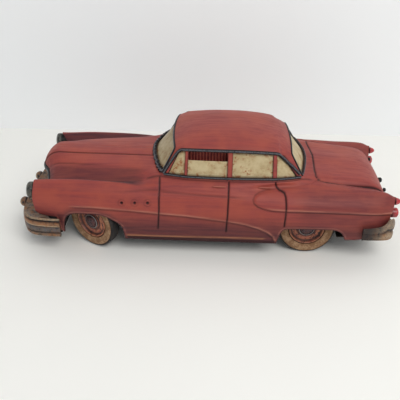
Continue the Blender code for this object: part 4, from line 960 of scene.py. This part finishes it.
# ---- nose and tail ----------------------------------------------------------------------------
def build_lamps():
    """Headlamps, tail lamps and boot studs, all turned about lines along the car."""
    headlamp = (42.3, 44.7)
    ring = rounded([(3.9, -120.2), (3.9, -122.8), (4.4, -123.6), (5.2, -123.8), (5.9, -122.8),
                    (5.95, -120.2), (5.3, -119.2), (5.1, -113.0), (4.4, -113.0)], 0.6, closed=True)
    lens = rounded([(3.6, -120.0), (3.6, -121.5), (2.9, -122.5), (1.5, -123.1), (0.05, -123.3)], 0.6)
    cone = rounded([(0.7, 137.6), (0.7, 139.75), (2.8, 139.8), (2.6, 141.0), (1.9, 142.8), (0.9, 143.9),
                    (0.1, 144.1)], 0.5)
    drum = rounded([(2.3, 134.2), (2.3, 138.2), (3.6, 138.2), (3.6, 142.2), (3.3, 142.9), (2.5, 143.0),
                    (2.2, 143.5), (0.1, 143.6)], 0.4)
    stud = rounded([(1.5, 135.6), (1.5, 136.8), (0.9, 137.4), (0.1, 137.5)], 0.4)
    # painted highlight on the ring's front rim and painted shadow on its neck, in the gap behind; painted
    # shade at the lamps' bases and painted highlights on the studs' tips
    ring_marks = {"wear_and_highlight": bell(ring[:, 1] + 123.5, 0.6), "recess_shade_and_grime": 0.9 * fade(ring[:, 1], -120.0, -119.3)}
    table = [("lamp_ring_", "headlamp_bezel_", ring, CHROME, "dark_trim", headlamp, 64, ring_marks),
             ("lamp_glass_", "headlamp_lens_", lens, LAMP_CLEAR, "lamp_clear", headlamp, 48, None),
             ("fin_lamp_", "tail_lamp_upper_", cone, LAMP_RED, "lamp_red", (41.4, 43.8), 40,
              {"recess_shade_and_grime": bell(cone[:, 1] - 139.7, 0.5)}),
             ("stop_lamp_", "tail_lamp_lower_", drum, LAMP_RED, "lamp_red", (41.8, 34.6), 40,
              {"recess_shade_and_grime": bell(drum[:, 1] - 138.3, 0.5)}),
             ("stud_", "boot_stud_", stud, TRIM, "dark_trim", (25.0, 43.6), 32,
              {"wear_and_highlight": 0.7 * bell(stud[:, 1] - 137.3, 0.4)})]
    for side, sign in SIDES:
        for name, node, profile, mat, slot, (y, z), count, marks in table:
            turned(name + side, profile, mat, slot, (0, sign * y, z), axis="X", count=count,
                   closed=profile is ring, marks=marks, stands_for=[node + side])
    knob = rounded([(2.0, 138.8), (2.1, 140.4), (1.3, 141.4), (0.1, 141.6)], 0.5)
    # painted highlight on the knob's tip
    turned("boot_knob", knob, TRIM, "dark_trim", (0, 0, 38.2), axis="X", count=32,
           marks={"wear_and_highlight": 0.7 * bell(knob[:, 1] - 141.3, 0.4)}, stands_for=["boot_handle"])


def build_bonnet_lip():
    """Dark lip round the front edge of the bonnet, over the grille."""
    across = np.linspace(-2.7, 2.7, 90)
    edge = body_rows(np.array([NOSE_X]), np.abs(across)[None])[0]
    edge[:, 1] *= np.where(across < 0, -1, 1)
    out = np.tile([-1.0, 0.0, 0.0], (len(edge), 1))
    out[:, 1] = np.sign(edge[:, 1]) * fade(np.abs(edge[:, 1]), 8, 30) * 0.6
    out = unit(out)
    # painted highlight, with wear, along the lip's crest
    bead("bonnet_lip", edge + [0.4, 0, 1.2], out, 5.0, 1.4, 0.5, sink=0.8)


GRILLE_X = -110.6


def build_grille():
    """Oval mouth: rim and a row of upright teeth standing on a back plate."""
    low, high, reach = 28.6, 41.0, 32.0
    points, faces, wear_and_highlight = [], [], []
    teeth, levels, arc = 21, 5, 5
    half_width = 0.85
    for k in range(teeth):
        y = reach * 0.93 * (2 * k / (teeth - 1) - 1)
        top = high - 0.6 - 2.6 * (y / reach) ** 4
        start = len(points)
        for z in np.linspace(low + 0.6, top, levels):
            for turn in np.linspace(0, np.pi, arc):
                bulge = 1.6 - 0.7 * (2 * (z - low) / (high - low) - 1) ** 2
                points.append((GRILLE_X - bulge * math.sin(turn), y + half_width * math.cos(turn), z))
                # painted highlight on the rounded front of each tooth
                wear_and_highlight.append(0.8 * math.sin(turn))
        faces += [tuple(start + i for i in f) for f in grid_faces(levels, arc, closed_cols=True)]
        faces.append(range(start, start + arc))
        faces.append(range(start + (levels - 1) * arc, start + levels * arc))
    piece("grille_teeth", points, faces, PLATE, "dull_plate", stands_for=["grille"], marks={"wear_and_highlight": wear_and_highlight})
    outline = [(-reach, low), (reach, low), (reach + 1.5, 34.5), (reach - 1, high), (-reach + 1, high),
               (-reach - 1.5, 34.5)]
    rim = resample(rounded(outline, 4.0, closed=True), 1.2, closed=True)
    path = np.stack([np.full(len(rim), GRILLE_X), rim[:, 0], rim[:, 1]], -1)
    forward = np.tile([-1.0, 0, 0], (len(rim), 1))
    # painted highlight, with wear, along the rim's crest
    bead("grille_rim", path, forward, 1.5, 1.5, 0.7, crest=slice(2, 6), mat=PLATE, slot="dull_plate",
         closed=True)


def both_sides(half):
    """Left half of a plan outline, followed by its mirror image."""
    return half + [(x, -y) for x, y in reversed(half) if y < 0]


def bumper(name, path, knots, tops, low, profile, shelf, stands_for, dark_reach=(0, 1)):
    """A pressed bar with a shelf along its top edge, reaching inward to the body.

    profile is (depth, share of height, wear with painted highlight, painted shade in grooves, orange, grey)
    round its section; its grooves fade out across the end of the car.  shelf is the shelf's reach at each
    of the knots; the bar is drawn darker where the distance from mid-car is below dark_reach."""
    track = resample(path, 1.1)
    aside = np.abs(track[:, 1])
    top = np.interp(aside, knots, tops)
    reach = np.interp(aside, knots, shelf)
    tangent = unit(np.gradient(track, axis=0))
    inward = np.stack([-tangent[:, 1], tangent[:, 0]], 1)
    middle = len(track) // 2
    if inward[middle, 0] * track[middle, 0] > 0:
        inward = -inward
    profile = np.asarray(profile, float)
    share = profile[:, 1]
    smooth = 0.9 * np.abs(2 * share - 1) ** 3
    grooved = fade(aside, 42, 50)[:, None]
    back = (np.abs(share - 0.5) > 0.4) & (profile[:, 0] > 1.2)
    depth = np.where(back, profile[:, 0], profile[:, 0] * grooved + smooth * (1 - grooved))
    z = low + (top[:, None] - low) * share
    edge = np.stack([reach, reach, np.full(len(track), 2.2)], -1)
    depth = np.concatenate([depth, edge], 1)
    z = np.concatenate([z, top[:, None] - [1.6, 2.6, 2.4]], 1)
    xy = track[:, None] + inward[:, None] * depth[:, :, None]
    loops = np.concatenate([xy, z[..., None]], -1)
    marks = {}
    # stretch of the bar drawn darker, fading out towards the far end of dark_reach
    darkened = fade(np.abs(track[:, :1]), dark_reach[1], dark_reach[0])
    # profile columns lay wear with a painted highlight, painted shade in the grooves, an orange band and a
    # grey band
    for column, mark, front in ((2, "wear_and_highlight", 0.35), (3, "recess_shade_and_grime", 0.15), (4, "metal", 0.5), (5, "edge", 0.3)):
        value = profile[:, column] * (front + (1 - front) * grooved) * (1 - 0.9 * darkened)
        marks[mark] = np.concatenate([value, np.zeros((len(track), 3))], 1)
    marks["recess_shade_and_grime"] = np.maximum(marks["recess_shade_and_grime"], 0.9 * darkened)
    swept(name, loops, PLATE, "dull_plate", marks=marks, stands_for=stands_for)


def build_bumpers():
    front = both_sides([(-101, -53.4), (-107, -53.4), (-113, -53.1), (-119, -52.2), (-123.5, -50.6),
                        (-127.5, -47.2), (-130.6, -42), (-132, -36), (-132.9, -26), (-133.4, -13),
                        (-133.6, 0)])
    section = [(2.2, 0.06, 0, 0, 0, 0), (0.9, 0.0, 0.2, 0, 0.2, 0), (0.3, 0.05, 0.2, 0, 0.2, 0),
               (0.1, 0.16, 0, 0, 0.1, 0), (0.7, 0.22, 0, 1, 0, 0), (0.2, 0.28, 0, 0.3, 0, 0.5),
               (0.0, 0.36, 0.1, 0, 0, 1), (0.1, 0.52, 0, 0.2, 0, 1), (0.3, 0.55, 0, 0.5, 0, 0.2),
               (0.0, 0.59, 1, 0, 0, 0), (0.2, 0.63, 0.2, 0, 1, 0), (0.0, 0.70, 0.2, 0, 1, 0),
               (0.2, 0.78, 0, 0.2, 0.8, 0), (1.2, 0.83, 0, 1, 0, 0), (1.1, 0.87, 0, 1, 0, 0),
               (0.1, 0.92, 0.5, 0, 0, 0.3), (0.9, 1.0, 0.6, 0, 0, 0.3), (2.2, 0.96, 0.1, 0.3, 0, 0)]
    bumper("front_bumper_bar", front, [0, 13, 26, 36, 42, 47.2, 50.6, 52.2, 53.1, 53.4],
           [26.8] * 9 + [26.6], 11.2, section,
           [12.0, 12.0, 12.5, 13.0, 13.0, 13.0, 13.0, 12.0, 11.0, 2.6], ["front_bumper"])
    rear = both_sides([(117.8, -54.3), (125, -54.2), (131, -53.9), (135.2, -53.3), (138.6, -51.8),
                       (141.0, -48.4), (141.8, -38), (142.2, -18), (142.3, 0)])
    section = [(1.5, 0.06, 0, 0, 0, 0), (0.6, 0.0, 0.2, 0, 0, 0), (0.15, 0.08, 0.3, 0, 0, 0),
               (0.0, 0.2, 0.6, 0, 0.2, 0), (0.05, 0.36, 0.3, 0, 0.2, 0), (0.5, 0.44, 0, 0.6, 0, 0),
               (0.6, 0.50, 0, 1, 0, 0), (0.2, 0.56, 0.2, 0, 0, 0.3), (0.0, 0.7, 0.5, 0, 0, 0.5),
               (0.05, 0.86, 0.3, 0, 0, 0.8), (0.25, 0.94, 0.3, 0, 0, 0.6), (0.6, 1.0, 0.5, 0, 0, 0.4),
               (1.5, 0.96, 0.1, 0, 0, 0.4)]
    bumper("rear_bumper_bar", rear, [0, 18, 38, 48.4, 51.8, 53.3, 53.9, 54.2, 54.3],
           [26.2, 26.2, 26.6, 30.0, 35.4, 35.0, 29.6, 28.0, 27.2], 17.4, section,
           [6.5, 6.5, 6.0, 2.6, 2.0, 2.0, 2.0, 2.0, 2.0], ["rear_bumper"], dark_reach=(121, 136))
    for name, sign in SIDES:
        nose = [(0.1, -139.7), (1.8, -139.3), (3.1, -138.2), (3.85, -136.6), (3.8, -135.2), (3.1, -134.2),
                (2.6, -133.9), (2.6, -133.7)]
        ball = resample(nose, 0.4)
        # painted highlight on the bullet's front, painted shade at its base
        marks = {"wear_and_highlight": 0.7 * fade(ball[:, 1], -136.5, -139), "recess_shade_and_grime": bell(ball[:, 1] + 134.3, 0.7),
                 "edge": 0.4 * fade(ball[:, 1], -137, -135)}
        turned("bumper_bullet_" + name, ball, PLATE, "dull_plate", (0, sign * 20.8, 21.3), axis="X",
               count=56, marks=marks, stands_for=["bumper_guard_" + name])


def build_handles():
    """Door handles: slim spindles where the CAD handles are."""
    steps, around, radius = 17, 10, 0.62
    turn = np.linspace(0, 2 * math.pi, around, endpoint=False)
    circle = radius * np.stack([np.zeros(around), np.cos(turn), np.sin(turn)], -1)
    for side, _ in SIDES:
        for end, start, stop in (("front", 9.5, 18.5), ("rear", 42.0, 51.0)):
            middle = centre_of(f"door_handle_{end}_{side}") - SHIFT
            loops = []
            for t in np.linspace(0, 1, steps):
                swell = 0.35 + 0.65 * math.sin(math.pi * min(max(t, 0.04), 0.96)) ** 0.35
                middle[0] = start + (stop - start) * t
                loops.append(middle + circle * swell)
            # painted highlight along the whole handle, with wear
            marks = np.full((steps, around), 0.5)
            swept(f"handle_{end}_{side}", loops, BODY, "body_paint", marks={"wear_and_highlight": marks},
                  stands_for=[f"door_handle_{end}_{side}"])


# ---- wheels -----------------------------------------------------------------------------------
WHEEL_STEPS = 112


def wheel_marks(kind, r, h):
    """Paint marks of a wheel piece at radius r and distance h outward from the wheel's middle."""
    if kind == "tyre":
        # painted shade in the tyre's seams
        seams = np.maximum(0.8 * fade(r, 13.9, 13.4), 0.7 * bell(r - 19.4, 0.2) * fade(h, 3, 3.8))
        return {"metal": fade(h, 2.9, 3.6) * fade(r, 19.3, 19.1), "recess_shade_and_grime": seams}
    if kind == "disc":
        # painted highlights on the disc's rims, painted shade in its grooves
        return {"wear_and_highlight": 0.6 * bell(r - 12.4, 0.5) + 0.4 * bell(r - 8.4, 0.4),
                "recess_shade_and_grime": 0.9 * np.maximum(bell(r - 11.1, 0.9), bell(r - 6.9, 0.9))}
    # painted highlight on the cap's ring, painted shade inside it
    return {"wear_and_highlight": 0.7 * bell(r - 5.45, 0.25), "recess_shade_and_grime": bell(r - 4.7, 0.35)}


def build_wheels():
    axes = {j["child"]: j["axis"] for j in frame["joints"]}
    tyre = [(13.3, -4.4), (16.6, -4.5), (19.4, -4.4), (20.5, -3.8), (20.8, -2.9), (20.8, -1.7),
            (20.3, -1.6), (20.3, -1.2), (20.8, -1.1), (20.8, 0.3), (20.3, 0.4), (20.3, 0.8), (20.8, 0.9),
            (20.8, 2.3), (20.5, 3.2), (19.9, 3.8), (19.6, 4.05), (19.4, 3.9), (19.2, 4.2), (17.6, 4.5),
            (15.8, 4.45), (14.3, 4.1), (13.6, 3.6), (13.3, 2.6)]
    disc = [(1.6, -1.0), (3.0, -1.0), (3.0, 0.9), (13.0, 0.9), (13.05, 3.3), (12.7, 3.9), (12.2, 3.9),
            (11.9, 3.3), (11.2, 2.2), (10.0, 2.05), (9.1, 2.1), (8.6, 2.5), (8.1, 2.5), (7.6, 2.1),
            (6.6, 2.2), (5.8, 2.5), (1.6, 2.5)]
    cap = [(5.85, 2.95), (5.9, 3.3), (5.7, 3.7), (5.2, 3.9), (4.8, 3.6), (4.4, 3.7), (3.8, 4.3), (2.9, 4.7),
           (1.6, 4.95), (0.1, 5.0)]
    for end in ("front", "rear"):
        for side, sign in SIDES:
            prefix = f"{end}_{side}"
            centre = centre_of(prefix + "_tyre") - SHIFT
            turn = 0.0
            body = "rear_axle_set"
            if end == "front":
                body = f"front_{side}_wheel"
                axis = axes[body]
                turn = math.atan2(-axis[0], axis[1])
            for kind, given, mat, slot, round_off in (("tyre", tyre, RUBBER, "tyre_rubber", 0.35),
                                                      ("disc", disc, DISC, "wheel_paint", 0.3),
                                                      ("hubcap", cap, CAP, "dull_plate", 0.4)):
                closed = kind != "hubcap"
                profile = rounded(given, round_off, 3, closed=closed)
                turned(f"{prefix}_{kind}_full", profile * [1, sign], mat, slot, centre, turn=turn,
                       count=WHEEL_STEPS, closed=closed, marks=wheel_marks(kind, *profile.T), body=body,
                       stands_for=[f"{prefix}_{kind}"], angle=60)


# ---- lining, panels and carried-over CAD nodes ------------------------------------------------
def build_lining():
    """Ribbed lining seen through the lowered window."""
    ribs, start, end, low, high = 13, -9.0, 20.0, 50.0, 73.5
    face, rib_depth, thick = -30.1, 0.9, 0.7
    along = np.linspace(start, end, ribs * 8 + 1)
    wave = face + rib_depth * np.abs(np.sin((along - start) / (end - start) * ribs * np.pi))
    loops = []
    for x, y in zip(along, wave):
        loops.append([(x, y, low), (x, y, high), (x, y + thick, high), (x, y + thick, low)])
    depth = (wave - wave.min()) / (wave.max() - wave.min())
    marks = np.repeat(depth[:, None], 4, 1)
    # painted shade in the rib hollows, painted highlight on the rib crests
    swept("ribbed_lining", loops, LINING, "seat_red", marks={"recess_shade_and_grime": 0.8 * marks, "wear_and_highlight": 1 - marks},
          stands_for=["cabin_lining"])


CARRIED = [
    (TIN, "chassis_plate front_beam beam_bracket"),
    (TRIM, "front_panel"),
    (BODY, "rear_panel"),
    (STEEL, "motor_side_left motor_side_right rear_axle counter_shaft flywheel_shaft flywheel"),
    (STEEL, "knuckle_left knuckle_right tie_rod"),
    (GEAR, "drive_gear counter_pinion counter_gear flywheel_pinion"),
]


def dress_cad_nodes():
    """Materials for the CAD nodes that are shown as they are."""
    for mat, names in CARRIED:
        for name in names.split():
            node = frame["nodes"][name]
            node.data.materials.clear()
            node.data.materials.append(mat)


# ---- stage, light and camera ------------------------------------------------------------------
WALL_FOOT = [(-226.0, 169.3), (211.7, 177.9)]
SKY_COLOUR = (0.93, 0.96, 1.0, 1.0)
SKY_STRENGTH = 0.47
KEY_AT = (0.5, -0.85, 1.15)
KEY_SIZE = 0.9
KEY_POWER = 10.2
KEY_COLOUR = (1.0, 0.98, 0.95)
LIT_POINT = (0, 0, 0.03)


def plain(name, colour, rough):
    p = Paint(name)
    tone = p.noise(160, detail=3)
    pale = tuple(min(255, c * 1.018) for c in colour)
    return p.finish(p.mix(tone, colour, pale), rough, specular=0.2)


def build_stage():
    span = 4.0
    floor = bpy.data.meshes.new("floor")
    square = [(-span, -span, 0), (span, -span, 0), (span, span, 0), (-span, span, 0)]
    floor.from_pydata(square, [], [(0, 1, 2, 3)])
    floor.materials.append(plain("table_top", (248, 247, 242), 0.7))
    foot = (np.array(WALL_FOOT) + SHIFT[:2]) * MM
    along = unit(foot[1] - foot[0]) * span
    a, b = foot.mean(0) - along, foot.mean(0) + along
    wall = bpy.data.meshes.new("backdrop")
    wall.from_pydata([(*a, 0), (*b, 0), (*b, span / 2), (*a, span / 2)], [], [(0, 1, 2, 3)])
    wall.materials.append(one_sided(plain("wall_paint", (250, 253, 255), 0.8)))
    for mesh in (floor, wall):
        obj = add_object(mesh.name, mesh)
        if mesh is wall:
            obj.visible_shadow = False


def one_sided(mat):
    """Makes a backdrop material clear from behind, so that the car can be seen from every side."""
    tree = mat.node_tree
    out = tree.nodes["Material Output"]
    clear = tree.nodes.new("ShaderNodeBsdfTransparent")
    mix = tree.nodes.new("ShaderNodeMixShader")
    tree.links.new(tree.nodes.new("ShaderNodeNewGeometry").outputs["Backfacing"], mix.inputs[0])
    tree.links.new(tree.nodes["Principled BSDF"].outputs[0], mix.inputs[1])
    tree.links.new(clear.outputs[0], mix.inputs[2])
    tree.links.new(mix.outputs[0], out.inputs["Surface"])
    return mat


def area_light(name, at, size, power, colour):
    data = bpy.data.lights.new(name, "AREA")
    data.shape = "DISK"
    data.size = size
    data.energy = power
    data.color = colour
    light = add_object(name, data)
    light.location = at
    light.rotation_euler = (Vector(LIT_POINT) - Vector(at)).to_track_quat("-Z", "Y").to_euler()


def build_light():
    world = bpy.data.worlds.new("studio")
    world.use_nodes = True
    sky = world.node_tree.nodes["Background"]
    sky.inputs["Color"].default_value = SKY_COLOUR
    sky.inputs["Strength"].default_value = SKY_STRENGTH
    bpy.context.scene.world = world
    area_light("key", KEY_AT, KEY_SIZE, KEY_POWER, KEY_COLOUR)
    bpy.context.scene.view_settings.view_transform = "Standard"


CAMERA_AT = (10.13, -386.8, 247.96)
CAMERA_YAW, CAMERA_PITCH, CAMERA_ROLL = -1.586, 31.07, 0.958
CAMERA_LENS = 50.15
SENSOR = 36.0


def build_camera():
    yaw, pitch, roll = (math.radians(a) for a in (CAMERA_YAW, CAMERA_PITCH, CAMERA_ROLL))
    forward = Vector((math.sin(yaw) * math.cos(pitch), math.cos(yaw) * math.cos(pitch), -math.sin(pitch)))
    right = forward.cross(Vector((0, 0, 1))).normalized()
    up = right.cross(forward)
    across = right * math.cos(roll) + up * math.sin(roll)
    upright = -right * math.sin(roll) + up * math.cos(roll)
    data = bpy.data.cameras.new("camera")
    data.sensor_width = SENSOR
    data.lens = CAMERA_LENS
    data.clip_start = 0.01
    camera = add_object("camera", data)
    turn = Matrix((across, upright, -forward)).transposed().to_quaternion()
    camera.matrix_world = Matrix.LocRotScale(Vector(SHIFT + CAMERA_AT) * MM, turn, None)
    bpy.context.scene.camera = camera


build_camera()
build_light()
build_stage()
build_body()
build_windows()
build_window_frame("windscreen_frame", GLASS_FRONT)
build_window_frame("rear_window_frame", GLASS_REAR)
build_side_strips()
build_lamps()
build_bonnet_lip()
build_grille()
build_bumpers()
build_handles()
build_wheels()
build_lining()
dress_cad_nodes()
